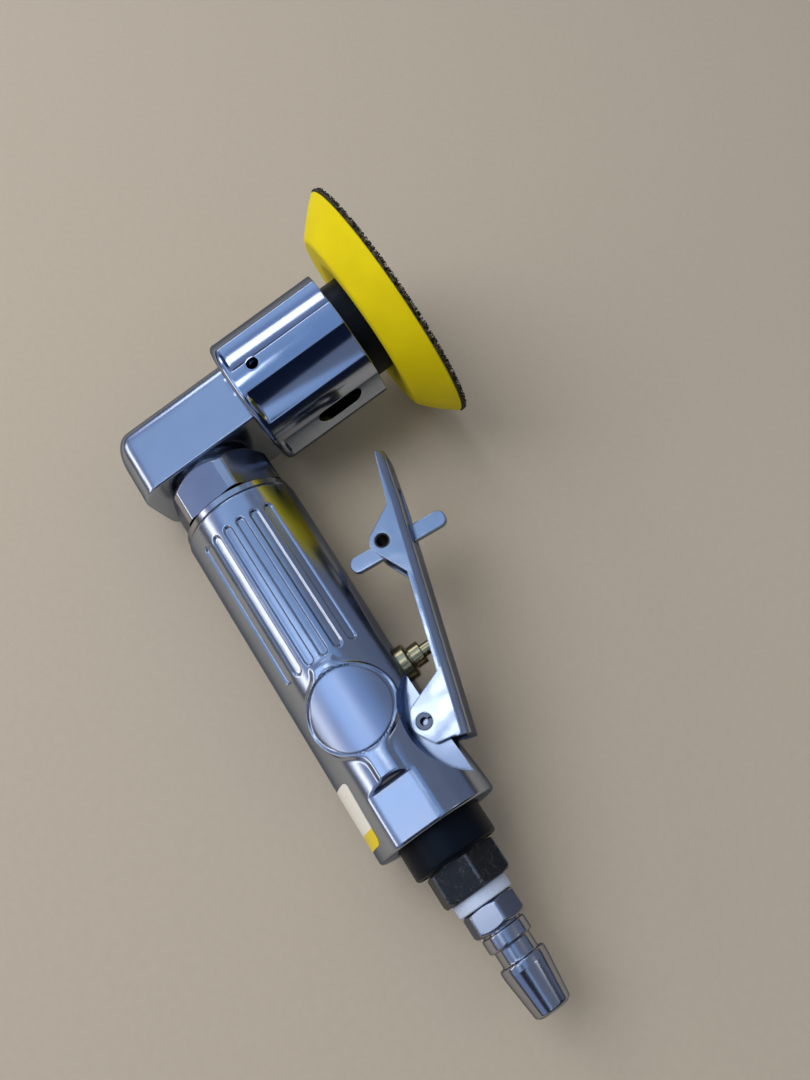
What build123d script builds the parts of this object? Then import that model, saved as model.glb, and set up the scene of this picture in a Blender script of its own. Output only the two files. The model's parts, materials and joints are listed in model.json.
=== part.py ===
from build123d import *
import os
from math import asin, atan2, cos, degrees, hypot, pi, radians, sin, tan

# Mini air polisher, lying on its side, in millimetres.
# Every piece is drawn in the tool frame: X along the handle from head to tail, Y along the spindle
# towards the pad, Z up from the side that lies on the floor. The two axes cross at the origin.
# The last section rolls the tool onto its pad rim and moves it to the middle of its footprint.

# Fits
seat_gap = 0.02
thread_gap = 0.05
running_gap = 0.04
moving_gap = 0.35
bearing_dish = 0.3
spacer_wall = 2.0

# Pad
pad_radius = 37.0
pad_front = 70.2
hook_thickness = 1.5
foam_thickness = 9.6
foam_back_radius = 27.6
foam_inset = 0.3
foam_back_round = 1.6
foam_recess = 1.6
plate_radius = 24.0
plate_thickness = 2.0
plate_cover = 1.6
plate_hub_radius = 8.8
stud_radius = 3.0
stud_flange_radius = 8.0
stud_flange_thickness = 1.5
stud_end_gap = 2.0
collar_radius = 14.7
collar_length = 8.0
collar_round = 0.8

# Spindle and its bearings
journal_radius = 3.5
tail_journal_radius = 3.0
tail_journal_start = -14.0
tail_journal_gap = 0.5
needle_bush_radius = 5.0
spindle_bearing_radius = 8.5
spindle_bearing_width = 5.0
spindle_bearing_start = 10.5
spindle_spacer_length = 12.5
circlip_thickness = 1.0
circlip_depth = 0.6
circlip_band = 1.6
circlip_opening = 4.0
wrench_flats = 13.0
wrench_flats_length = 8.4
spindle_flange_radius = 12.0

# Bevel pair: the pitch cones meet where the two axes cross
gear_teeth = 17
pinion_teeth = 10
tooth_module = 0.9
tooth_face = 3.0
tooth_addendum = 0.6
tooth_dedendum = 1.0
tooth_share = 0.216
tooth_top_share = 0.115
tooth_root_sink = 0.3
gear_rim = 3.0
gear_hub_radius = 5.2

# Angle head
head_nose = -10.4
head_tail = 12.0
head_half_height = 13.0
head_back = -18.9
head_back_round = 6.5
head_nose_round = 6.0
gear_cavity_radius = 8.3
gear_cavity_back = -6.0
spigot_radius = 13.4
neck_radius = 11.5
neck_end = 35.4
pinion_bearing_radius = 9.5
pinion_bearing_width = 6.0
pinion_bearing_start = 14.4
pinion_spacer_length = 6.6
pinion_passage_radius = 7.0
pinion_shaft_radius = 3.0

# Shroud
shroud_radius = 19.4
shroud_bore = 16.4
shroud_rear = 19.6
shroud_front = 54.5
shroud_wall = 4.2
shroud_rear_round = 1.6
flute_count = 7
flute_half_angle = 15.5
flute_depth = 1.3
flute_land = 2.0
spanner_hole_radius = 1.75
spanner_hole_y = 28.0
spanner_hole_angle = 84.0
wrench_slot_length = 14.3
wrench_slot_width = 7.0
wrench_slot_y = 40.8
wrench_slot_z = 1.2

# Clamp nut and front ring
nut_flats = 28.0
nut_turn = 10.0
nut_start = 13.2
nut_end = 26.5
nut_chamfer = 4.3
nut_chamfer_depth = 3.3
nut_rear_chamfer = 0.9
ring_radius = 15.8
ring_width = 2.6
ring_edge = 0.5
ring_thread_radius = 14.3

# Handle casting
handle_radius = 16.4
handle_end = 126.4
handle_front_chamfer = 0.7
handle_tail_chamfer = 0.8
relief_start = 34.0
relief_low_start = 80.0
relief_low_end = 96.0
relief_end = 120.0
relief_depth = 1.8
groove_angles = (-36.25, -21.75, -7.25, 7.25, 21.75, 36.25)
groove_start = 35.4
groove_end = 79.2
groove_width = 2.7
groove_depth = 0.6
badge_x = 93.6
badge_radius = 9.8
badge_groove = 0.35
badge_groove_depth = 0.35
badge_rim = 1.0
spine_height = 0.45
spine_width = 5.6
spine_start = 77.0
spine_flare = 3.0
flat_start = 113.0
flat_width = 12.4
flat_turn = 5.0
recess_x = 106.5
recess_radius = 18.0
recess_depth = 8.4
ear_gap = 0.4

# Motor
motor_radius = 13.9
front_plate_start = 35.6
end_plate_thickness = 5.8
end_plate_web = 0.6
rotor_bearing_radius = 7.5
rotor_bearing_width = 5.0
cylinder_length = 28.0
cylinder_bore = 11.2
cylinder_offset = 1.2
rotor_radius = 9.9
rotor_end_gap = 0.3
rotor_shaft_radius = 3.0
spline_flats = 3.3
spline_length = 5.6
vane_count = 5
vane_thickness = 1.5
vane_root = 4.4
vane_end_gap = 0.1
pin_radius = 1.25
pin_edge = 1.9
pin_inset = 2.6
gasket_thickness = 0.8
port_count = 3
port_length = 10.0
port_width = 3.0
exhaust_hole_radius = 2.0
exhaust_hole_y = -8.6
exhaust_hole_z = 6.4
feed_hole_radius = 1.5
feed_hole_y = 9.6

# Valve
valve_x = 88.7
valve_seat_drop = 2.0
bush_flange_radius = 4.8
bush_flange_thickness = 2.9
bush_step_radius = 3.1
bush_step_height = 3.5
bush_neck_radius = 2.6
bush_neck_height = 0.5
bush_thread_radius = 4.4
bush_length = 11.0
bush_edge = 0.4
bush_port_y = 7.0
bush_port_radius = 1.1
spot_face_gap = 0.8
stem_radius = 1.75
stem_lever_gap = 0.15
stem_head_radius = 3.3
stem_head_thickness = 2.0
valve_seal_thickness = 0.9
valve_seal_gap = 0.4
chamber_radius = 3.9
chamber_depth = 12.0
spring_outer = 3.0
spring_inner = 2.3
stem_ring_width = 1.4
stem_ring_thickness = 1.0
stem_ring_drop = 4.0

# Lever: a pressed channel, its outline taken in the XY plane
sheet = 1.5
lever_half_width = 7.8
lever_edge_x = 52.4
lever_rise = 19.2
lever_slope = -17.6
lever_tip_x = 38.8
lever_tip_slope = -20.6
lever_depth = 3.6
lever_tip_depth = 2.3
lever_rear_x = 112.2
lever_crown = 2.8
hinge_x = 104.9
hinge_drop = 4.2
hinge_pin_radius = 2.0
hinge_pin_bore = 1.0
hinge_ear_radius = 3.5
hinge_ear_head_x = 96.0
hinge_corner_reach = 3.9
hinge_corner_drop = 1.0
hinge_corner_radius = 0.6
hinge_heel_reach = 4.7
hinge_heel_rise = 0.2
hinge_heel_radius = 1.4
hinge_pin_proud = 0.2
hinge_pin_slit = 0.4
lever_travel = 5.0

# Lock latch
latch_x = 60.6
latch_rise = 12.5
latch_lean = 6.0
latch_width = 4.6
latch_foot = 11.4
latch_tab = 17.3
latch_corner = 2.1
latch_half_thickness = 1.0
latch_pin_radius = 2.0
latch_pin_bore = 1.6
latch_ear_radius = 3.5
latch_ear_head = 8.6
latch_ear_tail = 12.6
latch_fold = 44.0
latch_slot_half = 2.9
latch_edge = 0.3
latch_spring_gap = 0.1
latch_spring_wire = 0.8

# Tail
pocket_start = 116.0
pocket_radius = 11.7
sleeve_radius = 11.3
sleeve_start = 119.4
sleeve_end = 134.6
sleeve_web = 8.0
sleeve_lip = 1.1
sleeve_round = 1.0
sleeve_ports = 8
sleeve_port_radius = 0.9
muffler_thickness = 3.0
bushing_shank_radius = 8.5
bushing_thread_radius = 6.6
bushing_thread_start = 103.0
bushing_bore = 4.2
bushing_flats = 17.0
bushing_turn = 10.0
bushing_hex_start = 135.0
bushing_hex_length = 8.2
bushing_hex_chamfer = 0.7
bushing_chamfer_depth = 1.0
bushing_ring_thickness = 1.3
bushing_ring_width = 1.7
inlet_passage_radius = 3.2
screen_thickness = 0.6
screen_hole_radius = 0.45
screen_pitch = 1.5
screen_rows = 4

# Coupler plug
plug_thread_radius = 5.4
plug_thread_length = 10.0
plug_bore = 2.8
plug_collar_radius = 7.3
plug_collar_length = 3.4
plug_flats = 12.6
plug_turn = 6.5
plug_hex_length = 5.8
plug_neck_radius = 5.2
plug_neck_length = 0.7
plug_rib_radius = 5.8
plug_rib_length = 3.5
plug_groove_radius = 4.8
plug_groove_length = 3.9
plug_nose_radius = 6.0
plug_nose_land = 2.0
plug_nose_length = 12.6
plug_tip_radius = 4.65
plug_tip_chamfer = 0.7

# Places worked out from the sizes above
hook_back = pad_front - hook_thickness
foam_back = hook_back - foam_thickness
collar_start = foam_back - collar_length + foam_recess
collar_end = foam_back + foam_recess
plate_back = collar_end + plate_cover
stud_end = plate_back + plate_thickness + stud_flange_thickness
spindle_bearing_2 = spindle_bearing_start + spindle_bearing_width + spindle_spacer_length
spindle_circlip_y = spindle_bearing_2 + spindle_bearing_width
spigot_end = spindle_circlip_y + 2 * circlip_thickness
flats_start = spigot_end + moving_gap
tail_journal_end = gear_cavity_back + moving_gap
flats_end = flats_start + wrench_flats_length
gear_radius = gear_teeth * tooth_module / 2
pinion_radius = pinion_teeth * tooth_module / 2
pinion_bearing_2 = pinion_bearing_start + pinion_bearing_width + pinion_spacer_length
pinion_circlip_x = pinion_bearing_2 + pinion_bearing_width
handle_start = nut_end + ring_width
ring_thread_end = front_plate_start
cylinder_start = front_plate_start + end_plate_thickness
cylinder_end = cylinder_start + cylinder_length
rear_plate_end = cylinder_end + end_plate_thickness
motor_floor = rear_plate_end + gasket_thickness
relief_low = handle_radius - relief_depth
hinge_y = handle_radius - hinge_drop
recess_low = handle_radius - recess_depth
valve_seat_y = handle_radius - valve_seat_drop
bush_low = valve_seat_y - bush_length
chamber_low = bush_low - chamber_depth
lever_edge_y = handle_radius + lever_rise
latch_y = handle_radius + latch_rise
pin_circle = motor_radius - pin_edge
flat_height = (handle_radius**2 - (flat_width / 2) ** 2) ** 0.5
bushing_end = bushing_hex_start + bushing_hex_length
bushing_shank_start = pocket_start + bushing_ring_thickness
plug_start = bushing_end - plug_thread_length
plug_hex_start = bushing_end + plug_collar_length
plug_neck_start = plug_hex_start + plug_hex_length
plug_rib_start = plug_neck_start + plug_neck_length
plug_groove_start = plug_rib_start + plug_rib_length
plug_nose_start = plug_groove_start + plug_groove_length
plug_end = plug_nose_start + plug_nose_length
screen_end = plug_start - seat_gap
sheet_inner = lever_half_width - sheet
recess_floor = sheet_inner - ear_gap


def lever_edge(x):
    """Height of the lower edge of the lever's sides at x."""
    return lever_edge_y + tan(radians(lever_slope)) * (x - lever_edge_x)


lever_under_rise = (lever_depth - sheet) / cos(radians(lever_slope))
lever_under_at_valve = lever_edge(valve_x) + lever_under_rise
stem_reach = (stem_radius + stem_lever_gap) / cos(radians(lever_slope))
stem_dome_y = lever_under_at_valve - stem_reach
valve_arm = hinge_x - valve_x - tan(radians(lever_slope)) * (lever_under_at_valve - hinge_y)
valve_travel = valve_arm * radians(lever_travel)


def across_x(x, y=0.0, z=0.0):
    """Plane across the handle axis at x, its normal towards the tail."""
    return Plane(origin=(x, y, z), x_dir=(0, 1, 0), z_dir=(1, 0, 0))


def across_y(y, x=0.0):
    """Plane across the spindle axis at y, its normal towards the pad."""
    return Plane(origin=(x, y, 0), x_dir=(0, 0, 1), z_dir=(0, 1, 0))


def rod(plane, radius, length, mode=Mode.ADD):
    """Adds or cuts a round rod that starts on a plane and runs along its normal."""
    with BuildSketch(plane, mode=Mode.PRIVATE) as section:
        Circle(radius)
    extrude(section.sketch, amount=length, mode=mode)


def turned(points, axis, mode=Mode.ADD):
    """Adds or cuts a body turned from a polygon in the XY plane."""
    with BuildSketch(Plane.XY, mode=Mode.PRIVATE) as outline:
        Polygon(*points, align=None)
    revolve(outline.sketch, axis=axis, mode=mode)


def ring_points_x(start, end, outer, inner):
    """Section of a ring about the handle axis."""
    return ((start, inner), (end, inner), (end, outer), (start, outer))


def ring_points_y(start, end, outer, inner):
    """Section of a ring about the spindle axis."""
    return ((inner, start), (outer, start), (outer, end), (inner, end))


def bearing_points_x(start, width, outer, inner):
    """Section of a shielded ball bearing about the handle axis."""
    middle = (outer + inner) / 2
    ring = (outer - inner) / 4
    end = start + width
    return (
        (start, inner), (end, inner), (end, middle - ring), (end - bearing_dish, middle - ring),
        (end - bearing_dish, middle + ring), (end, middle + ring), (end, outer), (start, outer),
        (start, middle + ring), (start + bearing_dish, middle + ring),
        (start + bearing_dish, middle - ring), (start, middle - ring),
    )


def bevel_teeth(axis, first, count, own_radius, mate_radius):
    """Adds straight bevel teeth round an axis; their edges run to the crossing of the axes."""
    cone = hypot(own_radius, mate_radius)
    pitch = 2 * pi * own_radius / count
    side = axis.cross(first)
    for step in range(count):
        turn = 2 * pi * step / count
        out = first * cos(turn) + side * sin(turn)
        along = (out * own_radius + axis * mate_radius) * (1 / cone)
        up = (out * mate_radius - axis * own_radius) * (1 / cone)
        across = axis.cross(out)
        sections = []
        for distance in (cone - tooth_face, cone):
            size = distance / cone
            low = -(tooth_dedendum * tooth_module + tooth_root_sink) * size
            high = tooth_addendum * tooth_module * size
            wide = tooth_share * pitch * size
            slim = tooth_top_share * pitch * size
            plane = Plane(origin=along * distance, x_dir=across, z_dir=across.cross(up))
            with BuildSketch(plane, mode=Mode.PRIVATE) as section:
                Polygon((-wide, low), (wide, low), (slim, high), (-slim, high), align=None)
            sections.append(section.sketch.faces()[0])
        loft(sections, ruled=True)


# Angle head: gear case, neck into the handle and spigot into the shroud
with BuildPart() as angle_head:
    with BuildSketch(across_x(head_nose)):
        with Locations(((head_back + shroud_rear) / 2, 0)):
            Rectangle(shroud_rear - head_back, 2 * head_half_height)
    extrude(amount=head_tail - head_nose)
    fillet(angle_head.edges().filter_by(Axis.X).group_by(Axis.Y)[0], head_back_round)
    nose_edges = angle_head.faces().sort_by(Axis.X)[0].edges().sort_by(Axis.Y)
    fillet(nose_edges[:-1], head_nose_round)
    rod(across_x(0), neck_radius, neck_end)
    rod(across_y(shroud_rear), spigot_radius, spigot_end - shroud_rear)
    turned(
        (
            (0, tail_journal_start - tail_journal_gap),
            (needle_bush_radius, tail_journal_start - tail_journal_gap),
            (needle_bush_radius, gear_cavity_back),
            (gear_cavity_radius, gear_cavity_back),
            (gear_cavity_radius, spindle_bearing_start),
            (spindle_bearing_radius, spindle_bearing_start),
            (spindle_bearing_radius, spindle_circlip_y),
            (spindle_bearing_radius + circlip_depth, spindle_circlip_y),
            (spindle_bearing_radius + circlip_depth, spindle_circlip_y + circlip_thickness),
            (spindle_bearing_radius, spindle_circlip_y + circlip_thickness),
            (spindle_bearing_radius, spigot_end),
            (0, spigot_end),
        ),
        Axis.Y,
        Mode.SUBTRACT,
    )
    turned(
        (
            (0, 0),
            (neck_end, 0),
            (neck_end, pinion_bearing_radius),
            (pinion_circlip_x + circlip_thickness, pinion_bearing_radius),
            (pinion_circlip_x + circlip_thickness, pinion_bearing_radius + circlip_depth),
            (pinion_circlip_x, pinion_bearing_radius + circlip_depth),
            (pinion_circlip_x, pinion_bearing_radius),
            (pinion_bearing_start, pinion_bearing_radius),
            (pinion_bearing_start, pinion_passage_radius),
            (0, pinion_passage_radius),
        ),
        Axis.X,
        Mode.SUBTRACT,
    )

with BuildPart() as clamp_nut:
    with BuildSketch(across_x(nut_start)):
        RegularPolygon(nut_flats / 2, 6, major_radius=False, rotation=nut_turn)
        Circle(neck_radius + thread_gap, mode=Mode.SUBTRACT)
    extrude(amount=nut_end - nut_start)
    nut_corner = nut_flats / 2 / cos(radians(30))
    turned(
        (
            (nut_start, 0),
            (nut_end, 0),
            (nut_end, nut_corner - nut_rear_chamfer),
            (nut_end - nut_rear_chamfer, nut_corner),
            (nut_start + nut_chamfer, nut_corner),
            (nut_start, nut_corner - nut_chamfer_depth),
        ),
        Axis.X,
        Mode.INTERSECT,
    )

with BuildPart() as head_shroud:
    turned(
        (
            (spigot_radius + thread_gap, shroud_rear),
            (shroud_radius, shroud_rear),
            (shroud_radius, shroud_front),
            (shroud_bore, shroud_front),
            (shroud_bore, shroud_rear + shroud_wall),
            (spigot_radius + thread_gap, shroud_rear + shroud_wall),
        ),
        Axis.Y,
    )
    rear_rim = head_shroud.edges().filter_by(GeomType.CIRCLE).group_by(Axis.Y)[0].sort_by(SortBy.RADIUS)[-1]
    fillet(rear_rim, shroud_rear_round)
    flute_chord = shroud_radius * sin(radians(flute_half_angle))
    flute_rise = flute_depth - shroud_radius * (1 - cos(radians(flute_half_angle)))
    flute_cutter = (flute_chord**2 + flute_rise**2) / (2 * flute_rise)
    with BuildSketch(across_y(shroud_rear + flute_land)):
        with PolarLocations(shroud_radius - flute_depth + flute_cutter, flute_count, start_angle=90):
            Circle(flute_cutter)
    extrude(amount=shroud_front - shroud_rear, mode=Mode.SUBTRACT)
    with BuildSketch(Plane.YZ):
        with Locations((wrench_slot_y, wrench_slot_z)):
            SlotOverall(wrench_slot_length, wrench_slot_width)
    extrude(amount=2 * shroud_radius, mode=Mode.SUBTRACT)
    hole_turn = radians(spanner_hole_angle)
    hole_plane = Plane(
        origin=(0, spanner_hole_y, 0), x_dir=(0, 1, 0), z_dir=(cos(hole_turn), 0, sin(hole_turn))
    )
    rod(hole_plane, spanner_hole_radius, 2 * shroud_radius, Mode.SUBTRACT)

# Spindle with its gear and bearings
with BuildPart() as spindle:
    turned(
        (
            (0, tail_journal_start),
            (tail_journal_radius, tail_journal_start),
            (tail_journal_radius, tail_journal_end),
            (journal_radius, tail_journal_end),
            (journal_radius, flats_start),
            (0, flats_start),
        ),
        Axis.Y,
    )
    with BuildSketch(across_y(flats_start)):
        RegularPolygon(wrench_flats / 2, 6, major_radius=False)
    extrude(amount=wrench_flats_length)
    rod(across_y(flats_end), spindle_flange_radius, collar_start - flats_end)
    rod(across_y(flats_start), stud_radius + thread_gap, collar_start - flats_start, Mode.SUBTRACT)

with BuildPart() as bevel_gear:
    cone_length = hypot(gear_radius, pinion_radius)
    toe = (cone_length - tooth_face) / cone_length
    root = tooth_dedendum * tooth_module / cone_length
    gear_root_r = gear_radius - root * pinion_radius
    gear_root_y = pinion_radius + root * gear_radius
    gear_back = gear_root_y + gear_rim
    turned(
        (
            (journal_radius + seat_gap, toe * gear_root_y),
            (toe * gear_root_r, toe * gear_root_y),
            (gear_root_r, gear_root_y),
            (gear_root_r, gear_back),
            (gear_hub_radius, gear_back),
            (gear_hub_radius, spindle_bearing_start - moving_gap),
            (journal_radius + seat_gap, spindle_bearing_start - moving_gap),
        ),
        Axis.Y,
    )
    bevel_teeth(Vector(0, 1, 0), Vector(1, 0, 0), gear_teeth, gear_radius, pinion_radius)
    rod(across_y(0), journal_radius + seat_gap, spindle_bearing_start, Mode.SUBTRACT)

with BuildPart() as bevel_pinion:
    pinion_root_r = pinion_radius - root * gear_radius
    pinion_root_x = gear_radius + root * pinion_radius
    pinion_shaft_end = front_plate_start - moving_gap
    turned(
        (
            (toe * pinion_root_x, 0),
            (pinion_shaft_end, 0),
            (pinion_shaft_end, pinion_shaft_radius),
            (pinion_bearing_start - moving_gap, pinion_shaft_radius),
            (pinion_bearing_start - moving_gap, pinion_root_r),
            (pinion_root_x, pinion_root_r),
            (toe * pinion_root_x, toe * pinion_root_r),
        ),
        Axis.X,
    )
    half_pitch = pi / pinion_teeth
    bevel_teeth(
        Vector(1, 0, 0),
        Vector(0, cos(half_pitch), sin(half_pitch)),
        pinion_teeth,
        pinion_radius,
        gear_radius,
    )
    with BuildSketch(across_x(pinion_shaft_end)):
        RegularPolygon(spline_flats / 2 + thread_gap, 6, major_radius=False)
    extrude(amount=-spline_length, mode=Mode.SUBTRACT)

with BuildPart() as spindle_needle_bush:
    turned(
        ring_points_y(
            tail_journal_start, gear_cavity_back, needle_bush_radius - seat_gap,
            tail_journal_radius + running_gap,
        ),
        Axis.Y,
    )

with BuildPart() as spindle_bearing_inner:
    turned(
        tuple(
            (r, y)
            for y, r in bearing_points_x(
                spindle_bearing_start, spindle_bearing_width, spindle_bearing_radius - seat_gap,
                journal_radius + running_gap,
            )
        ),
        Axis.Y,
    )

with BuildPart() as spindle_bearing_outer:
    turned(
        tuple(
            (r, y)
            for y, r in bearing_points_x(
                spindle_bearing_2, spindle_bearing_width, spindle_bearing_radius - seat_gap,
                journal_radius + running_gap,
            )
        ),
        Axis.Y,
    )

with BuildPart() as spindle_spacer:
    turned(
        ring_points_y(
            spindle_bearing_start + spindle_bearing_width, spindle_bearing_2,
            spindle_bearing_radius - seat_gap, spindle_bearing_radius - spacer_wall,
        ),
        Axis.Y,
    )

with BuildPart() as spindle_circlip:
    with BuildSketch(across_y(spindle_circlip_y)):
        Circle(spindle_bearing_radius + circlip_depth - seat_gap)
        Circle(spindle_bearing_radius - circlip_band, mode=Mode.SUBTRACT)
        with Locations((0, -spindle_bearing_radius)):
            Rectangle(circlip_opening, 4 * circlip_band, mode=Mode.SUBTRACT)
    extrude(amount=circlip_thickness)

with BuildPart() as pinion_bearing_front:
    turned(
        bearing_points_x(
            pinion_bearing_start, pinion_bearing_width, pinion_bearing_radius - seat_gap,
            pinion_shaft_radius + running_gap,
        ),
        Axis.X,
    )

with BuildPart() as pinion_bearing_rear:
    turned(
        bearing_points_x(
            pinion_bearing_2, pinion_bearing_width, pinion_bearing_radius - seat_gap,
            pinion_shaft_radius + running_gap,
        ),
        Axis.X,
    )

with BuildPart() as pinion_spacer:
    turned(
        ring_points_x(
            pinion_bearing_start + pinion_bearing_width, pinion_bearing_2,
            pinion_bearing_radius - seat_gap, pinion_bearing_radius - spacer_wall,
        ),
        Axis.X,
    )

with BuildPart() as pinion_circlip:
    with BuildSketch(across_x(pinion_circlip_x)):
        Circle(pinion_bearing_radius + circlip_depth - seat_gap)
        Circle(pinion_bearing_radius - circlip_band, mode=Mode.SUBTRACT)
        with Locations((0, -pinion_bearing_radius)):
            Rectangle(circlip_opening, 4 * circlip_band, mode=Mode.SUBTRACT)
    extrude(amount=circlip_thickness)

# Pad: collar, plate, stud, foam and hook sheet
with BuildPart() as pad_collar:
    turned(ring_points_y(collar_start, collar_end, collar_radius, stud_radius + seat_gap), Axis.Y)
    collar_rim = pad_collar.edges().filter_by(GeomType.CIRCLE).group_by(Axis.Y)[0].sort_by(SortBy.RADIUS)[-1]
    fillet(collar_rim, collar_round)

with BuildPart() as pad_plate:
    turned(
        (
            (stud_radius + seat_gap, collar_end),
            (plate_hub_radius, collar_end),
            (plate_hub_radius, plate_back),
            (plate_radius, plate_back),
            (plate_radius, plate_back + plate_thickness),
            (stud_radius + seat_gap, plate_back + plate_thickness),
        ),
        Axis.Y,
    )

with BuildPart() as pad_stud:
    turned(
        (
            (0, flats_start + stud_end_gap),
            (stud_radius, flats_start + stud_end_gap),
            (stud_radius, plate_back + plate_thickness),
            (stud_flange_radius, plate_back + plate_thickness),
            (stud_flange_radius, stud_end),
            (0, stud_end),
        ),
        Axis.Y,
    )

with BuildPart() as foam_pad:
    turned(
        (
            (0, collar_end),
            (collar_radius + seat_gap, collar_end),
            (foam_back_radius, foam_back),
            (pad_radius - foam_inset, hook_back),
            (0, hook_back),
        ),
        Axis.Y,
    )
    back_rim = foam_pad.edges().filter_by(GeomType.CIRCLE).group_by(Axis.Y)[0].sort_by(SortBy.RADIUS)[-1]
    fillet(back_rim, foam_back_round)
    turned(
        (
            (0, collar_end),
            (plate_hub_radius + seat_gap, collar_end),
            (plate_hub_radius + seat_gap, plate_back - seat_gap),
            (plate_radius + seat_gap, plate_back - seat_gap),
            (plate_radius + seat_gap, plate_back + plate_thickness + seat_gap),
            (stud_flange_radius + seat_gap, plate_back + plate_thickness + seat_gap),
            (stud_flange_radius + seat_gap, stud_end + seat_gap),
            (0, stud_end + seat_gap),
        ),
        Axis.Y,
        Mode.SUBTRACT,
    )

with BuildPart() as hook_face:
    rod(across_y(hook_back), pad_radius, hook_thickness)

# Handle casting
with BuildPart() as handle:
    turned(
        (
            (handle_start, 0),
            (handle_end, 0),
            (handle_end, handle_radius - handle_tail_chamfer),
            (handle_end - handle_tail_chamfer, handle_radius),
            (handle_start + handle_front_chamfer, handle_radius),
            (handle_start, handle_radius - handle_front_chamfer),
        ),
        Axis.X,
    )
    # Round boss for the badge and the narrow spine on either side of it, proud of the cylinder
    raised_radius = handle_radius + spine_height
    boss_radius = badge_radius + badge_groove + badge_rim
    with BuildSketch(Plane.XY) as boss_outline:
        with Locations(((spine_start + flat_start) / 2, 0)):
            Rectangle(flat_start - spine_start, spine_width)
        with Locations((badge_x, 0)):
            Circle(boss_radius)
        neck_corners = [
            corner
            for corner in boss_outline.vertices()
            if abs(hypot(corner.X - badge_x, corner.Y) - boss_radius) < 0.01
        ]
        fillet(neck_corners, spine_flare)
    extrude(amount=2 * handle_radius)
    rod(across_x(handle_start), raised_radius, handle_end - handle_start, Mode.INTERSECT)
    # Fine groove between the badge disc and its rim
    with BuildSketch(Plane.XY):
        with Locations((badge_x, 0)):
            Circle(badge_radius + badge_groove)
            Circle(badge_radius, mode=Mode.SUBTRACT)
    badge_ring = extrude(amount=2 * handle_radius, mode=Mode.PRIVATE)
    with BuildSketch(across_x(handle_start)):
        Circle(raised_radius - badge_groove_depth)
    badge_core = extrude(amount=handle_end - handle_start, mode=Mode.PRIVATE)
    add(badge_ring - badge_core, mode=Mode.SUBTRACT)
    # Lever side, relieved between the front of the grip and the hinge
    with BuildSketch(Plane.XY):
        with BuildLine():
            Polyline(
                (relief_start, handle_radius), (relief_low_start, relief_low),
                (relief_low_end, relief_low),
            )
            TangentArc((relief_low_end, relief_low), (relief_end, handle_radius), tangent=(1, 0))
            Polyline(
                (relief_end, handle_radius),
                (relief_end, 2 * handle_radius),
                (relief_start, 2 * handle_radius),
                (relief_start, handle_radius),
            )
        make_face()
    extrude(amount=2 * handle_radius, both=True, mode=Mode.SUBTRACT)
    # Grip grooves on both broad sides
    for side in (1, -1):
        for angle in groove_angles:
            turn = radians(angle)
            out = (0, sin(turn), side * cos(turn))
            middle = (groove_start + groove_end) / 2
            reach = handle_radius + groove_depth
            groove_plane = Plane(
                origin=(middle, reach * out[1], reach * out[2]), x_dir=(1, 0, 0), z_dir=out
            )
            with BuildSketch(groove_plane):
                SlotOverall(groove_end - groove_start, groove_width)
            extrude(amount=-2 * groove_depth, mode=Mode.SUBTRACT)
    # Wrench flats at the tail and recesses for the lever's hinge ears
    for side in (1, -1):
        out = Vector(0, -sin(radians(flat_turn)), cos(radians(flat_turn))) * side
        flat_plane = Plane(
            origin=out * flat_height + Vector((flat_start + handle_end) / 2, 0, 0), x_dir=(1, 0, 0), z_dir=out
        )
        with BuildSketch(flat_plane):
            Rectangle(handle_end - flat_start, 2 * handle_radius)
        extrude(amount=handle_radius, mode=Mode.SUBTRACT)
        with BuildSketch(Plane.XY.offset(side * recess_floor)):
            with Locations((recess_x, recess_low + recess_radius)):
                Circle(recess_radius)
        extrude(amount=side * handle_radius, mode=Mode.SUBTRACT)
    # Motor bore with the wider thread for the front ring
    rod(across_x(handle_start), motor_radius + seat_gap, motor_floor - handle_start, Mode.SUBTRACT)
    rod(
        across_x(handle_start), ring_thread_radius + thread_gap,
        ring_thread_end - handle_start, Mode.SUBTRACT,
    )
    # Valve seat, valve bore and the chamber below it
    rod(across_y(valve_seat_y, valve_x), bush_flange_radius + spot_face_gap, handle_radius, Mode.SUBTRACT)
    rod(across_y(bush_low, valve_x), bush_thread_radius + thread_gap, handle_radius, Mode.SUBTRACT)
    rod(across_y(chamber_low, valve_x), chamber_radius, bush_low - chamber_low, Mode.SUBTRACT)
    # Air ways: inlet thread and passage, feed to the motor, exhaust to the tail pocket
    rod(across_x(valve_x), inlet_passage_radius, handle_end - valve_x, Mode.SUBTRACT)
    rod(
        across_x(bushing_thread_start), bushing_thread_radius + thread_gap,
        handle_end - bushing_thread_start, Mode.SUBTRACT,
    )
    rod(across_x(pocket_start), pocket_radius, handle_end - pocket_start, Mode.SUBTRACT)
    with BuildSketch(across_x(motor_floor)):
        with Locations((exhaust_hole_y, exhaust_hole_z), (exhaust_hole_y, -exhaust_hole_z)):
            Circle(exhaust_hole_radius)
    extrude(amount=pocket_start - motor_floor, mode=Mode.SUBTRACT)
    with BuildSketch(across_x(motor_floor)):
        with Locations((feed_hole_y, 0)):
            Circle(feed_hole_radius)
    extrude(amount=valve_x - motor_floor, mode=Mode.SUBTRACT)
    # Hinge pin hole
    with BuildSketch(Plane.XY):
        with Locations((hinge_x, hinge_y)):
            Circle(hinge_pin_radius + seat_gap)
    extrude(amount=handle_radius, both=True, mode=Mode.SUBTRACT)

with BuildPart() as front_ring:
    turned(
        (
            (nut_end, neck_radius + thread_gap),
            (ring_thread_end, neck_radius + thread_gap),
            (ring_thread_end, ring_thread_radius),
            (handle_start, ring_thread_radius),
            (handle_start, ring_radius - ring_edge),
            (handle_start - ring_edge, ring_radius),
            (nut_end + ring_edge, ring_radius),
            (nut_end, ring_radius - ring_edge),
        ),
        Axis.X,
    )

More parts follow.
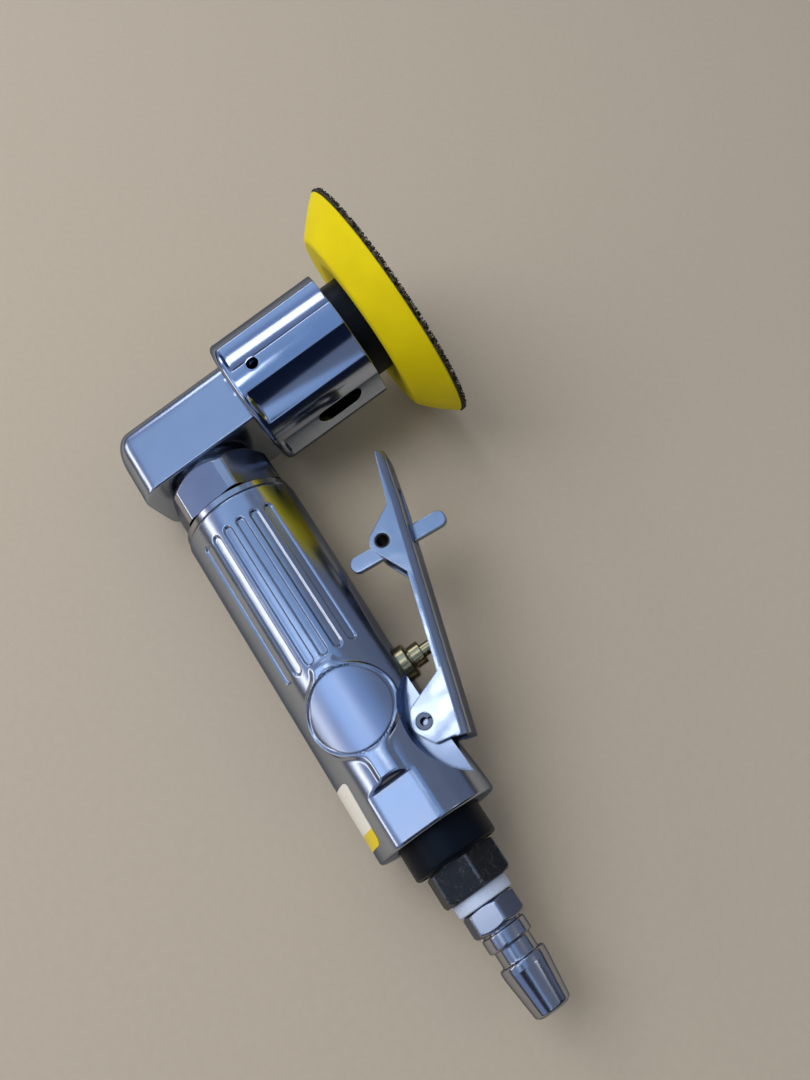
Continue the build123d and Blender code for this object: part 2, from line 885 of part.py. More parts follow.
# Motor
with BuildPart() as front_end_plate:
    rod(across_x(front_plate_start), motor_radius, end_plate_thickness)
    rod(
        across_x(front_plate_start), rotor_bearing_radius,
        end_plate_thickness - end_plate_web, Mode.SUBTRACT,
    )
    rod(
        across_x(front_plate_start), rotor_shaft_radius + moving_gap, end_plate_thickness, Mode.SUBTRACT
    )
    rod(
        across_x(cylinder_start - pin_inset, z=pin_circle),
        pin_radius + seat_gap, pin_inset, Mode.SUBTRACT,
    )

with BuildPart() as motor_cylinder:
    rod(across_x(cylinder_start), motor_radius, cylinder_length)
    rod(
        across_x(cylinder_start, z=-cylinder_offset), cylinder_bore,
        cylinder_length, Mode.SUBTRACT,
    )
    rod(
        across_x(cylinder_start, z=pin_circle), pin_radius + seat_gap,
        cylinder_length, Mode.SUBTRACT,
    )
    with BuildSketch(Plane.ZX):
        with GridLocations(0, cylinder_length / (port_count + 1), 1, port_count):
            with Locations((0, (cylinder_start + cylinder_end) / 2)):
                SlotOverall(port_length, port_width)
    extrude(amount=-motor_radius, mode=Mode.SUBTRACT)

with BuildPart() as rotor:
    turned(
        (
            (pinion_shaft_end + moving_gap, 0),
            (rear_plate_end - moving_gap, 0),
            (rear_plate_end - moving_gap, rotor_shaft_radius),
            (cylinder_end - rotor_end_gap, rotor_shaft_radius),
            (cylinder_end - rotor_end_gap, rotor_radius),
            (cylinder_start + rotor_end_gap, rotor_radius),
            (cylinder_start + rotor_end_gap, rotor_shaft_radius),
            (pinion_shaft_end + moving_gap, rotor_shaft_radius),
        ),
        Axis.X,
    )
    with BuildSketch(across_x(pinion_shaft_end + moving_gap)):
        RegularPolygon(spline_flats / 2, 6, major_radius=False)
    extrude(amount=-spline_length)
    with BuildSketch(across_x(cylinder_start)):
        with PolarLocations((vane_root + cylinder_bore) / 2, vane_count):
            Rectangle(cylinder_bore - vane_root, vane_thickness + 2 * seat_gap)
    extrude(amount=cylinder_length, mode=Mode.SUBTRACT)

with BuildPart() as rotor_vanes:
    vane_start = cylinder_start + rotor_end_gap + vane_end_gap
    with BuildSketch(across_x(vane_start)):
        with PolarLocations((vane_root + rotor_radius) / 2, vane_count):
            Rectangle(rotor_radius - vane_root - 2 * seat_gap, vane_thickness)
    extrude(amount=cylinder_end - rotor_end_gap - vane_end_gap - vane_start)

with BuildPart() as rear_end_plate:
    rod(across_x(cylinder_end), motor_radius, end_plate_thickness)
    rod(
        across_x(cylinder_end + end_plate_web), rotor_bearing_radius,
        end_plate_thickness - end_plate_web, Mode.SUBTRACT,
    )
    rod(across_x(cylinder_end), rotor_shaft_radius + moving_gap, end_plate_thickness, Mode.SUBTRACT)
    rod(
        across_x(cylinder_end, z=pin_circle), pin_radius + seat_gap,
        pin_inset, Mode.SUBTRACT,
    )
    with BuildSketch(across_x(cylinder_end)):
        with Locations((exhaust_hole_y, exhaust_hole_z), (exhaust_hole_y, -exhaust_hole_z)):
            Circle(exhaust_hole_radius)
        with Locations((feed_hole_y, 0)):
            Circle(feed_hole_radius)
    extrude(amount=end_plate_thickness, mode=Mode.SUBTRACT)

with BuildPart() as rotor_bearing_front:
    turned(
        bearing_points_x(
            cylinder_start - end_plate_web - rotor_bearing_width, rotor_bearing_width,
            rotor_bearing_radius - seat_gap, rotor_shaft_radius + running_gap,
        ),
        Axis.X,
    )

with BuildPart() as rotor_bearing_rear:
    turned(
        bearing_points_x(
            cylinder_end + end_plate_web, rotor_bearing_width, rotor_bearing_radius - seat_gap,
            rotor_shaft_radius + running_gap,
        ),
        Axis.X,
    )

with BuildPart() as cylinder_pin:
    rod(
        across_x(cylinder_start - pin_inset, z=pin_circle), pin_radius,
        cylinder_length + 2 * pin_inset,
    )

with BuildPart() as motor_gasket:
    with BuildSketch(across_x(rear_plate_end)):
        Circle(motor_radius)
        Circle(rotor_bearing_radius, mode=Mode.SUBTRACT)
        with Locations((exhaust_hole_y, exhaust_hole_z), (exhaust_hole_y, -exhaust_hole_z)):
            Circle(exhaust_hole_radius, mode=Mode.SUBTRACT)
        with Locations((feed_hole_y, 0)):
            Circle(feed_hole_radius, mode=Mode.SUBTRACT)
    extrude(amount=gasket_thickness)

# Valve, on an axis of its own across the handle
valve_axis = Axis((valve_x, 0, 0), (0, 1, 0))
bush_top = valve_seat_y + bush_flange_thickness
stem_head_top = bush_low - valve_seal_gap - valve_seal_thickness
spring_top = stem_head_top - stem_head_thickness - valve_travel - moving_gap


def valve_points(points):
    """Moves (radius, height) pairs to the valve axis."""
    return tuple((valve_x + radius, height) for radius, height in points)


with BuildPart() as valve_bush:
    ring_low = valve_seat_y - stem_ring_drop
    turned(
        valve_points(
            (
                (stem_radius + running_gap, bush_low),
                (bush_thread_radius, bush_low),
                (bush_thread_radius, valve_seat_y),
                (bush_flange_radius, valve_seat_y),
                (bush_flange_radius, bush_top - bush_edge),
                (bush_flange_radius - bush_edge, bush_top),
                (bush_neck_radius, bush_top),
                (bush_neck_radius, bush_top + bush_neck_height),
                (bush_step_radius, bush_top + bush_neck_height),
                (bush_step_radius, bush_top + bush_step_height),
                (stem_radius + running_gap, bush_top + bush_step_height),
                (stem_radius + running_gap, ring_low + stem_ring_thickness),
                (stem_radius + stem_ring_width, ring_low + stem_ring_thickness),
                (stem_radius + stem_ring_width, ring_low),
                (stem_radius + running_gap, ring_low),
            )
        ),
        valve_axis,
    )
    with BuildSketch(across_x(valve_x - bush_flange_radius)):
        with Locations((bush_port_y, 0)):
            Circle(bush_port_radius)
    extrude(amount=bush_flange_radius - stem_radius, mode=Mode.SUBTRACT)

with BuildPart() as stem_o_ring:
    turned(
        valve_points(
            (
                (stem_radius + running_gap, ring_low),
                (stem_radius + stem_ring_width, ring_low),
                (stem_radius + stem_ring_width, ring_low + stem_ring_thickness),
                (stem_radius + running_gap, ring_low + stem_ring_thickness),
            )
        ),
        valve_axis,
    )

with BuildPart() as valve_stem:
    turned(
        valve_points(
            (
                (0, stem_head_top - stem_head_thickness),
                (stem_head_radius, stem_head_top - stem_head_thickness),
                (stem_head_radius, stem_head_top),
                (stem_radius, stem_head_top),
                (stem_radius, stem_dome_y),
                (0, stem_dome_y),
            )
        ),
        valve_axis,
    )
    with Locations((valve_x, stem_dome_y, 0)):
        Sphere(stem_radius)

with BuildPart() as valve_seal:
    turned(
        valve_points(
            (
                (stem_radius + seat_gap, stem_head_top),
                (stem_head_radius, stem_head_top),
                (stem_head_radius, stem_head_top + valve_seal_thickness),
                (stem_radius + seat_gap, stem_head_top + valve_seal_thickness),
            )
        ),
        valve_axis,
    )

with BuildPart() as valve_spring:
    turned(
        valve_points(
            (
                (spring_inner, chamber_low),
                (spring_outer, chamber_low),
                (spring_outer, spring_top),
                (spring_inner, spring_top),
            )
        ),
        valve_axis,
    )

# Lever: outline of the channel from the side, then hollowed from below
slope = radians(lever_slope)
tip_slope = radians(lever_tip_slope)
tip_edge_y = lever_edge_y + tan(tip_slope) * (lever_tip_x - lever_edge_x)
rear_edge_y = lever_edge(lever_rear_x)
top_bend = (lever_edge_x + lever_depth * sin(-slope), lever_edge_y + lever_depth * cos(slope))
top_rear = (lever_rear_x + lever_depth * sin(-slope), rear_edge_y + lever_depth * cos(slope))
top_tip = (lever_tip_x + lever_tip_depth * sin(-tip_slope), tip_edge_y + lever_tip_depth * cos(tip_slope))
latch_ear_head_x = latch_x - latch_ear_head
latch_ear_tail_x = latch_x + latch_ear_tail


def ear(round_ends, head_x, tail_x):
    """Side ear: round ends given as (x, y, radius), joined by straight flanks to the lever's edge."""
    with BuildSketch(Plane.XY, mode=Mode.PRIVATE) as plate:
        for end_x, end_y, end_radius in round_ends:
            with Locations((end_x, end_y)):
                Circle(end_radius)
        edge_line = Edge.make_line((head_x, lever_edge(head_x) + sheet), (tail_x, lever_edge(tail_x) + sheet))
        make_hull([*plate.sketch.edges(), edge_line])
    return plate.sketch


with BuildPart() as lever:
    with BuildSketch(Plane.XY):
        with BuildLine():
            Polyline(
                (lever_tip_x, tip_edge_y), (lever_edge_x, lever_edge_y), (lever_rear_x, rear_edge_y),
                top_rear, top_bend, top_tip, (lever_tip_x, tip_edge_y),
            )
        make_face()
    extrude(amount=lever_half_width, both=True)
    crown_faces = lever.faces().filter_by(lambda face: face.normal_at().Y > 0.5)
    fillet(crown_faces.edges().filter_by(lambda edge: abs(edge.center().Z) > sheet_inner), lever_crown)
    hinge_ear = ear(
        (
            (hinge_x, hinge_y, hinge_ear_radius),
            (hinge_x - hinge_corner_reach, hinge_y - hinge_corner_drop, hinge_corner_radius),
            (hinge_x + hinge_heel_reach, hinge_y + hinge_heel_rise, hinge_heel_radius),
        ),
        hinge_ear_head_x,
        lever_rear_x,
    )
    latch_ear = ear(((latch_x, latch_y, latch_ear_radius),), latch_ear_head_x, latch_ear_tail_x)
    extrude(hinge_ear, amount=lever_half_width, both=True)
    extrude(latch_ear, amount=lever_half_width, both=True)
    with BuildSketch(Plane.XY):
        with BuildLine():
            under_bend = (
                lever_edge_x + (lever_depth - sheet) * sin(-slope),
                lever_edge_y + (lever_depth - sheet) * cos(slope),
            )
            under_tip = (
                lever_tip_x + (lever_tip_depth - sheet) * sin(-tip_slope) - handle_radius * cos(tip_slope),
                tip_edge_y + (lever_tip_depth - sheet) * cos(tip_slope) - handle_radius * sin(tip_slope),
            )
            under_rear = (
                lever_rear_x + (lever_depth - sheet) * sin(-slope) + handle_radius * cos(slope),
                rear_edge_y + (lever_depth - sheet) * cos(slope) + handle_radius * sin(slope),
            )
            Polyline(
                under_tip, under_bend, under_rear, (under_rear[0], -handle_radius),
                (under_tip[0], -handle_radius), under_tip,
            )
        make_face()
    extrude(amount=sheet_inner, both=True, mode=Mode.SUBTRACT)
    # Slot for the latch: from its standing place to its folded place
    crown_plane = Plane(
        origin=(latch_x, latch_y, 0), x_dir=(cos(slope), sin(slope), 0), z_dir=(-sin(slope), cos(slope), 0)
    )
    top_height = (lever_edge(latch_x) - latch_y) * cos(slope) + lever_depth
    stand = radians(-lever_slope - latch_lean)
    folded = stand + radians(latch_fold)
    slot_head = top_height * tan(folded) + latch_width / 2 / cos(folded) + moving_gap
    slot_tail = latch_width / 2 / cos(stand) - (top_height - sheet) * tan(stand) + moving_gap
    with BuildSketch(crown_plane):
        with Locations(((slot_tail - slot_head) / 2, 0)):
            Rectangle(slot_head + slot_tail, 2 * latch_slot_half)
    extrude(amount=3 * lever_depth + top_height, mode=Mode.SUBTRACT)
    with BuildSketch(Plane.XY):
        with Locations((hinge_x, hinge_y)):
            Circle(hinge_pin_radius + running_gap)
        with Locations((latch_x, latch_y)):
            Circle(latch_pin_radius + seat_gap)
    extrude(amount=2 * lever_half_width, both=True, mode=Mode.SUBTRACT)

with BuildPart() as lever_pin:
    with BuildSketch(Plane.XY):
        with Locations((hinge_x, hinge_y)):
            Circle(hinge_pin_radius)
            Circle(hinge_pin_bore, mode=Mode.SUBTRACT)
        with Locations((hinge_x, hinge_y + hinge_pin_radius)):
            Rectangle(hinge_pin_slit, 2 * hinge_pin_radius, mode=Mode.SUBTRACT)
    extrude(amount=lever_half_width + hinge_pin_proud, both=True)

with BuildPart() as lock_latch:
    lean = radians(latch_lean)
    strip_plane = Plane(origin=(latch_x, latch_y, 0), x_dir=(sin(lean), cos(lean), 0), z_dir=(0, 0, 1))
    with BuildSketch(strip_plane):
        with Locations(((latch_tab - latch_foot) / 2, 0)):
            RectangleRounded(latch_tab + latch_foot, latch_width, latch_corner)
        Circle(latch_pin_radius + running_gap, mode=Mode.SUBTRACT)
    extrude(amount=latch_half_thickness, both=True)
    broad_faces = lock_latch.faces().filter_by(Axis.Z)
    fillet([edge for face in broad_faces for edge in face.outer_wire().edges()], latch_edge)

with BuildPart() as latch_pin:
    with BuildSketch(Plane.XY):
        with Locations((latch_x, latch_y)):
            Circle(latch_pin_radius)
            Circle(latch_pin_bore, mode=Mode.SUBTRACT)
    extrude(amount=lever_half_width, both=True)

with BuildPart() as latch_spring:
    spring_bore = latch_pin_radius + latch_spring_gap
    with BuildSketch(Plane.XY.offset(latch_spring_gap - sheet_inner)):
        with Locations((latch_x, latch_y)):
            Circle(spring_bore + latch_spring_wire)
            Circle(spring_bore, mode=Mode.SUBTRACT)
    extrude(amount=sheet_inner - latch_spring_gap - latch_half_thickness - moving_gap)

# Tail: exhaust sleeve, muffler, inlet bushing and coupler plug
with BuildPart() as exhaust_sleeve:
    turned(
        (
            (sleeve_start, bushing_shank_radius + running_gap),
            (sleeve_start + sleeve_web, bushing_shank_radius + running_gap),
            (sleeve_start + sleeve_web, sleeve_radius - sleeve_lip),
            (sleeve_end, sleeve_radius - sleeve_lip),
            (sleeve_end, sleeve_radius),
            (sleeve_start, sleeve_radius),
        ),
        Axis.X,
    )
    fillet(
        exhaust_sleeve.edges().filter_by(GeomType.CIRCLE).group_by(Axis.X)[-1].sort_by(SortBy.RADIUS)[-1],
        sleeve_round,
    )
    with BuildSketch(across_x(sleeve_start)):
        with PolarLocations((bushing_shank_radius + sleeve_radius) / 2, sleeve_ports):
            Circle(sleeve_port_radius)
    extrude(amount=sleeve_web, mode=Mode.SUBTRACT)

# The muffler fits round the shank, and is bored out where a sealing ring wider than the shank lies in it
bushing_ring_radius = bushing_thread_radius + bushing_ring_width
with BuildPart() as exhaust_muffler:
    turned(
        ring_points_x(
            pocket_start, pocket_start + muffler_thickness, pocket_radius - seat_gap,
            bushing_shank_radius + seat_gap,
        ),
        Axis.X,
    )
    rod(
        across_x(pocket_start), bushing_ring_radius + seat_gap, bushing_shank_start - pocket_start,
        Mode.SUBTRACT,
    )

with BuildPart() as inlet_bushing:
    rod(
        across_x(bushing_thread_start), bushing_thread_radius,
        bushing_hex_start - bushing_thread_start,
    )
    rod(
        across_x(bushing_shank_start), bushing_shank_radius, bushing_hex_start - bushing_shank_start
    )
    with BuildSketch(across_x(bushing_hex_start)):
        RegularPolygon(bushing_flats / 2, 6, major_radius=False, rotation=bushing_turn)
    extrude(amount=bushing_hex_length)
    bushing_corner = bushing_flats / 2 / cos(radians(30))
    turned(
        (
            (bushing_thread_start, 0),
            (bushing_end, 0),
            (bushing_end, bushing_corner - bushing_chamfer_depth),
            (bushing_end - bushing_hex_chamfer, bushing_corner),
            (bushing_thread_start, bushing_corner),
        ),
        Axis.X,
        Mode.INTERSECT,
    )
    rod(
        across_x(bushing_thread_start), bushing_bore, bushing_end - bushing_thread_start, Mode.SUBTRACT
    )
    rod(
        across_x(plug_start - screen_thickness - 2 * seat_gap), plug_thread_radius + thread_gap,
        bushing_end - plug_start + screen_thickness + 2 * seat_gap, Mode.SUBTRACT,
    )

with BuildPart() as bushing_o_ring:
    turned(
        ring_points_x(
            pocket_start, bushing_shank_start, bushing_ring_radius, bushing_thread_radius + seat_gap,
        ),
        Axis.X,
    )

with BuildPart() as inlet_screen:
    with BuildSketch(across_x(screen_end - screen_thickness)):
        Circle(plug_thread_radius)
        with GridLocations(screen_pitch, screen_pitch, screen_rows, screen_rows):
            Circle(screen_hole_radius, mode=Mode.SUBTRACT)
    extrude(amount=screen_thickness)

with BuildPart() as coupler_plug:
    turned(
        (
            (plug_start, plug_bore),
            (plug_end, plug_bore),
            (plug_end, plug_tip_radius - plug_tip_chamfer),
            (plug_end - plug_tip_chamfer, plug_tip_radius),
            (plug_nose_start + plug_nose_land, plug_nose_radius),
            (plug_nose_start, plug_nose_radius),
            (plug_nose_start, plug_groove_radius),
            (plug_groove_start, plug_groove_radius),
            (plug_groove_start, plug_rib_radius),
            (plug_rib_start, plug_rib_radius),
            (plug_rib_start, plug_neck_radius),
            (plug_hex_start, plug_neck_radius),
            (plug_hex_start, plug_collar_radius),
            (bushing_end, plug_collar_radius),
            (bushing_end, plug_thread_radius),
            (plug_start, plug_thread_radius),
        ),
        Axis.X,
    )
    with BuildSketch(across_x(plug_hex_start)):
        RegularPolygon(plug_flats / 2, 6, major_radius=False, rotation=plug_turn)
        Circle(plug_bore, mode=Mode.SUBTRACT)
    extrude(amount=plug_hex_length)

# Roll the tool until the pad rim and the handle both touch the floor, then centre its footprint
rim_angle = atan2(pad_radius, hook_back)
lie_angle = degrees(rim_angle - asin(handle_radius / hypot(pad_radius, hook_back)))
pieces = {
    "angle_head": angle_head, "clamp_nut": clamp_nut, "head_shroud": head_shroud, "spindle": spindle,
    "bevel_gear": bevel_gear, "bevel_pinion": bevel_pinion, "spindle_needle_bush": spindle_needle_bush,
    "spindle_bearing_inner": spindle_bearing_inner, "spindle_bearing_outer": spindle_bearing_outer,
    "spindle_spacer": spindle_spacer, "spindle_circlip": spindle_circlip,
    "pinion_bearing_front": pinion_bearing_front, "pinion_bearing_rear": pinion_bearing_rear,
    "pinion_spacer": pinion_spacer, "pinion_circlip": pinion_circlip, "pad_collar": pad_collar,
    "pad_plate": pad_plate, "pad_stud": pad_stud, "foam_pad": foam_pad, "hook_face": hook_face,
    "handle": handle, "front_ring": front_ring, "front_end_plate": front_end_plate,
    "motor_cylinder": motor_cylinder, "rotor": rotor, "rotor_vanes": rotor_vanes,
    "rear_end_plate": rear_end_plate, "rotor_bearing_front": rotor_bearing_front,
    "rotor_bearing_rear": rotor_bearing_rear, "cylinder_pin": cylinder_pin, "motor_gasket": motor_gasket,
    "valve_bush": valve_bush, "stem_o_ring": stem_o_ring, "valve_stem": valve_stem,
    "valve_seal": valve_seal, "valve_spring": valve_spring, "lever": lever, "lever_pin": lever_pin,
    "lock_latch": lock_latch, "latch_pin": latch_pin, "latch_spring": latch_spring,
    "exhaust_sleeve": exhaust_sleeve, "exhaust_muffler": exhaust_muffler, "inlet_bushing": inlet_bushing,
    "bushing_o_ring": bushing_o_ring, "inlet_screen": inlet_screen, "coupler_plug": coupler_plug,
}
roll = Location((0, 0, 0), (lie_angle, 0, 0))
footprint = Compound([piece.part.moved(roll) for piece in pieces.values()]).bounding_box()
place = Location((-footprint.center().X, -footprint.center().Y, -footprint.min.Z)) * roll

os.makedirs("parts", exist_ok=True)
for name, piece in pieces.items():
    placed = piece.part.moved(place)
    placed.label = name
    export_step(placed, f"parts/{name}.step")
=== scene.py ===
"""Looks of a lever-operated angle polisher with a foam pad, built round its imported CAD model."""

from __future__ import annotations

import json
import logging
import math
from dataclasses import dataclass, field
from enum import Enum
from typing import Any, Sequence

import bmesh
import bpy
import numpy as np
from mathutils import Matrix, Vector


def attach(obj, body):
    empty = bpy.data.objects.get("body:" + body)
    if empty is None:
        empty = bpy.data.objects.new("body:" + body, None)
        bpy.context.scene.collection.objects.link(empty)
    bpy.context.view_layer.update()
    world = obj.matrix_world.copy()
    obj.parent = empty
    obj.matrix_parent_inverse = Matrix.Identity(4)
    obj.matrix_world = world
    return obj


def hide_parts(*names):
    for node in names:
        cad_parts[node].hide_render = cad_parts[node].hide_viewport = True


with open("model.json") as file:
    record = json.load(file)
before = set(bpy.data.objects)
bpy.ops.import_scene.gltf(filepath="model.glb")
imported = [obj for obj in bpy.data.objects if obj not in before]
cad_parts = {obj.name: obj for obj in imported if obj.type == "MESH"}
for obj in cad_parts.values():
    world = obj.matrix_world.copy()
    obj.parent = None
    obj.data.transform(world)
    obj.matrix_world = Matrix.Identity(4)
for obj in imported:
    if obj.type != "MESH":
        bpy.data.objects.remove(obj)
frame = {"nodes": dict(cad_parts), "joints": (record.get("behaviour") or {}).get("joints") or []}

LOG = logging.getLogger("polisher")
MM = 0.001
TURN = 2 * math.pi
QUARTER = math.pi / 2
# A radius beyond every surface, for places where nothing is cut
FAR = 100.0
# Points of a mesh that lie closer than this, in metres, are one point
MERGE = 1e-7

Object = bpy.types.Object
Tree = bpy.types.NodeTree
Node = bpy.types.Node
Socket = bpy.types.NodeSocket
Pair = tuple[float, float]
Triple = tuple[float, float, float]
Outline = Sequence[Sequence[float]]


class LongAxis(Enum):
    """The line that a turned or fluted piece is built round."""

    HANDLE = "handle"
    SPINDLE = "spindle"


class Body(Enum):
    """The moving bodies that new pieces ride on."""

    CASING = "casing"
    PAD = "pad_spindle"


# Frame and mesh helpers


@dataclass(frozen=True)
class ToolFrame:
    """The tool's own axes in the row frame: x along the handle, y along the spindle, z upwards."""

    origin: np.ndarray
    axes: np.ndarray

    @classmethod
    def from_joint(cls, name: str) -> ToolFrame:
        """Reads the axes from the joint on which the spindle turns.

        Args:
            name: The joint's name in the record.

        Returns:
            The tool frame, with its origin on the handle's line.
        """
        joint = next(j for j in frame["joints"] if j["name"] == name)
        along_y = np.array(joint["axis"], float)
        along_x = np.array((1.0, 0.0, 0.0))
        along_z = np.cross(along_x, along_y)
        return cls(np.array(joint["pos_m"], float), np.column_stack((along_x, along_y, along_z)))

    def to_row(self, points: np.ndarray) -> np.ndarray:
        """Points in tool millimetres as points in row metres."""
        return np.asarray(points, float) * MM @ self.axes.T + self.origin

    def direction(self, vector: Sequence[float]) -> Vector:
        """A direction in the tool's axes as one in the row frame."""
        return Vector(self.axes @ np.asarray(vector, float))


TOOL = ToolFrame.from_joint("spindle_spin")


def soft_min(first: np.ndarray, second: np.ndarray, width: float) -> np.ndarray:
    """The lower of two heights, with the corner between them rounded.

    Args:
        first: Heights of one surface.
        second: Heights of the other.
        width: Difference in height over which the two blend.

    Returns:
        The blended heights.
    """
    share = np.clip(0.5 + 0.5 * (second - first) / width, 0, 1)
    return second * (1 - share) + first * share - width * share * (1 - share)


def ease(value: np.ndarray, start: float, end: float) -> np.ndarray:
    """A smooth step from 0 at start to 1 at end."""
    share = np.clip((value - start) / (end - start), 0, 1)
    return share * share * (3 - 2 * share)


def edge_drop(distance: np.ndarray, rounding: float) -> np.ndarray:
    """How far a rounded edge lies below the full surface, at a distance from its end."""
    share = np.clip(distance / rounding, 0, 1)
    return rounding * (1 - np.sqrt(1 - (1 - share) ** 2))


def quarter_steps(count: int) -> np.ndarray:
    """Steps from 0 to 1, close together at 0 as along a quarter round."""
    return 1 - np.cos(np.linspace(0, QUARTER, count))


def full_turn(count: int) -> np.ndarray:
    """Evenly spaced angles round a full turn."""
    return np.arange(count) / count * TURN


def rounded_loop(corners: Outline, step: float, arcs: int = 5, closed: bool = True) -> np.ndarray:
    """An outline with rounded corners and points at an even spacing between them.

    Args:
        corners: Each corner as (station, radius), or as (station, radius, rounding).
        step: Greatest distance between points on the straight runs.
        arcs: Steps along each rounding.
        closed: Whether the outline runs back to its start.

    Returns:
        The outline's points, one row each.
    """
    places = np.array([corner[:2] for corner in corners], float)
    path: list[np.ndarray] = []
    for index, (place, corner) in enumerate(zip(places, corners)):
        rounding = corner[2] if len(corner) > 2 else 0.0
        if rounding <= 0:
            path.append(place)
            continue
        before, after = places[index - 1] - place, places[(index + 1) % len(places)] - place
        # A rounding takes less than half of the shorter run beside it
        reach = min(np.linalg.norm(before), np.linalg.norm(after)) * 0.48
        before, after = before / np.linalg.norm(before), after / np.linalg.norm(after)
        half = math.acos(float(np.clip(before @ after, -1, 1))) / 2
        tangent = min(rounding / math.tan(half), reach)
        radius = tangent * math.tan(half)
        inward = (before + after) / np.linalg.norm(before + after)
        middle = place + inward * radius / math.sin(half)
        start, end = place + before * tangent - middle, place + after * tangent - middle
        for share in np.linspace(0, 1, arcs + 1):
            spoke = start * (1 - share) + end * share
            path.append(middle + spoke / np.linalg.norm(spoke) * radius)
    filled: list[np.ndarray] = []
    for place, following in zip(path, path[1:] + path[:1]):
        count = max(1, math.ceil(float(np.linalg.norm(following - place)) / step))
        filled.extend(place + (following - place) * part / count for part in range(count))
    return np.array(filled if closed else filled[: len(filled) - count + 1])


def make_piece(name: str, grid: np.ndarray, closed: bool = False, sharp: float = 50.0) -> Object:
    """A mesh object through rings of points, with its faces pointing outwards.

    Args:
        name: The piece's name.
        grid: Points in tool millimetres, one ring to a row.
        closed: Whether the last ring joins the first.
        sharp: Angle in degrees above which an edge stays crisp.

    Returns:
        The object, linked to the scene.
    """
    rows, count = grid.shape[:2]
    row = np.arange(rows if closed else rows - 1)[:, None]
    col = np.arange(count)
    low, high, turn = row * count, (row + 1) % rows * count, (col + 1) % count
    faces = np.stack((low + col, low + turn, high + turn, high + col), -1).reshape(-1, 4)
    points = grid.reshape(-1, 3)
    first, second, third, fourth = np.moveaxis(points[faces], 1, 0)
    fan = np.cross(second - first, third - first) + np.cross(third - first, fourth - first)
    if np.einsum("ij,ij->", points[faces].mean(1) - points.mean(0), fan) < 0:
        faces = faces[:, ::-1]
    mesh = bpy.data.meshes.new(name)
    mesh.from_pydata(TOOL.to_row(points).tolist(), [], faces.tolist())
    work = bmesh.new()
    work.from_mesh(mesh)
    bmesh.ops.remove_doubles(work, verts=work.verts, dist=MERGE)
    bmesh.ops.dissolve_degenerate(work, edges=work.edges, dist=MERGE / 10)
    work.to_mesh(mesh)
    work.free()
    piece = stand(name, mesh)
    shade(piece, sharp)
    return piece


def stand(name: str, data: bpy.types.ID) -> Object:
    """Links a mesh, a lamp or a camera to the scene.

    Args:
        name: The object's name.
        data: What it shows.

    Returns:
        The object.
    """
    thing = bpy.data.objects.new(name, data)
    bpy.context.scene.collection.objects.link(thing)
    return thing


def shade(piece: Object, sharp: float) -> None:
    """Shades a piece smooth, with edges above an angle in degrees left crisp."""
    piece.data.shade_smooth()
    piece.data.set_sharp_from_angle(angle=math.radians(sharp))


def ring_points(
    station: np.ndarray, radius: np.ndarray, angle: np.ndarray, axis: LongAxis
) -> np.ndarray:
    """Points at given stations, radii and angles round one of the tool's long axes.

    Args:
        station: Place along the axis in millimetres.
        radius: Distance from the axis in millimetres.
        angle: Angle from +y towards +z round the handle, or from +z towards +x round the spindle.
        axis: The line that the points lie round.

    Returns:
        Points in tool millimetres.
    """
    station, radius, angle = np.broadcast_arrays(station, radius, angle)
    first, second = radius * np.cos(angle), radius * np.sin(angle)
    if axis is LongAxis.HANDLE:
        return np.stack((station, first, second), -1)
    return np.stack((second, station, first), -1)


def shell(
    name: str,
    station: np.ndarray,
    radius: np.ndarray,
    angle: np.ndarray,
    axis: LongAxis,
    bore: Outline = (),
    sharp: float = 50.0,
) -> Object:
    """A closed skin through rings of points: out along the outside, back along the bore.

    Args:
        name: The piece's name.
        station: Place of each ring along the axis.
        radius: Radius of each ring at each angle.
        angle: Angles round the axis.
        axis: The line that the skin lies round.
        bore: Further plain rings, each as (station, radius).
        sharp: Angle in degrees above which an edge stays crisp.

    Returns:
        The object.
    """
    inner = np.array(bore, float).reshape(-1, 2)
    station = np.concatenate((station, inner[:, 0]))
    radius = np.vstack((radius, inner[:, 1:] + 0 * angle))
    return make_piece(name, ring_points(station[:, None], radius, angle, axis), True, sharp)


def hexagon_tip(flats: float) -> float:
    """Radius of a hexagon's corners, from its size across flats."""
    return flats / 2 / math.cos(TURN / 12)


def hexagon(angle: np.ndarray, flats: float, corner: float) -> np.ndarray:
    """Radius of a hexagon at each angle.

    Args:
        angle: Angles in radians.
        flats: Size across flats.
        corner: Angle of one corner in degrees.

    Returns:
        The radii.
    """
    sixth = TURN / 6
    return flats / 2 / np.cos((angle - math.radians(corner)) % sixth - sixth / 2)


def close_ends(rows: np.ndarray) -> np.ndarray:
    """Rings of points with a ring drawn to its middle added at each end."""
    caps = [np.repeat(row.mean(0)[None], rows.shape[1], 0) for row in (rows[0], rows[-1])]
    return np.concatenate((caps[:1], rows, caps[1:]))


def plain_mesh(piece: Object) -> None:
    """Turns a piece's live modifiers into a plain mesh and removes them.

    Args:
        piece: The piece.
    """
    bpy.context.view_layer.update()
    live = piece.evaluated_get(bpy.context.evaluated_depsgraph_get())
    ready = bpy.data.meshes.new_from_object(live)
    piece.modifiers.clear()
    piece.data = ready


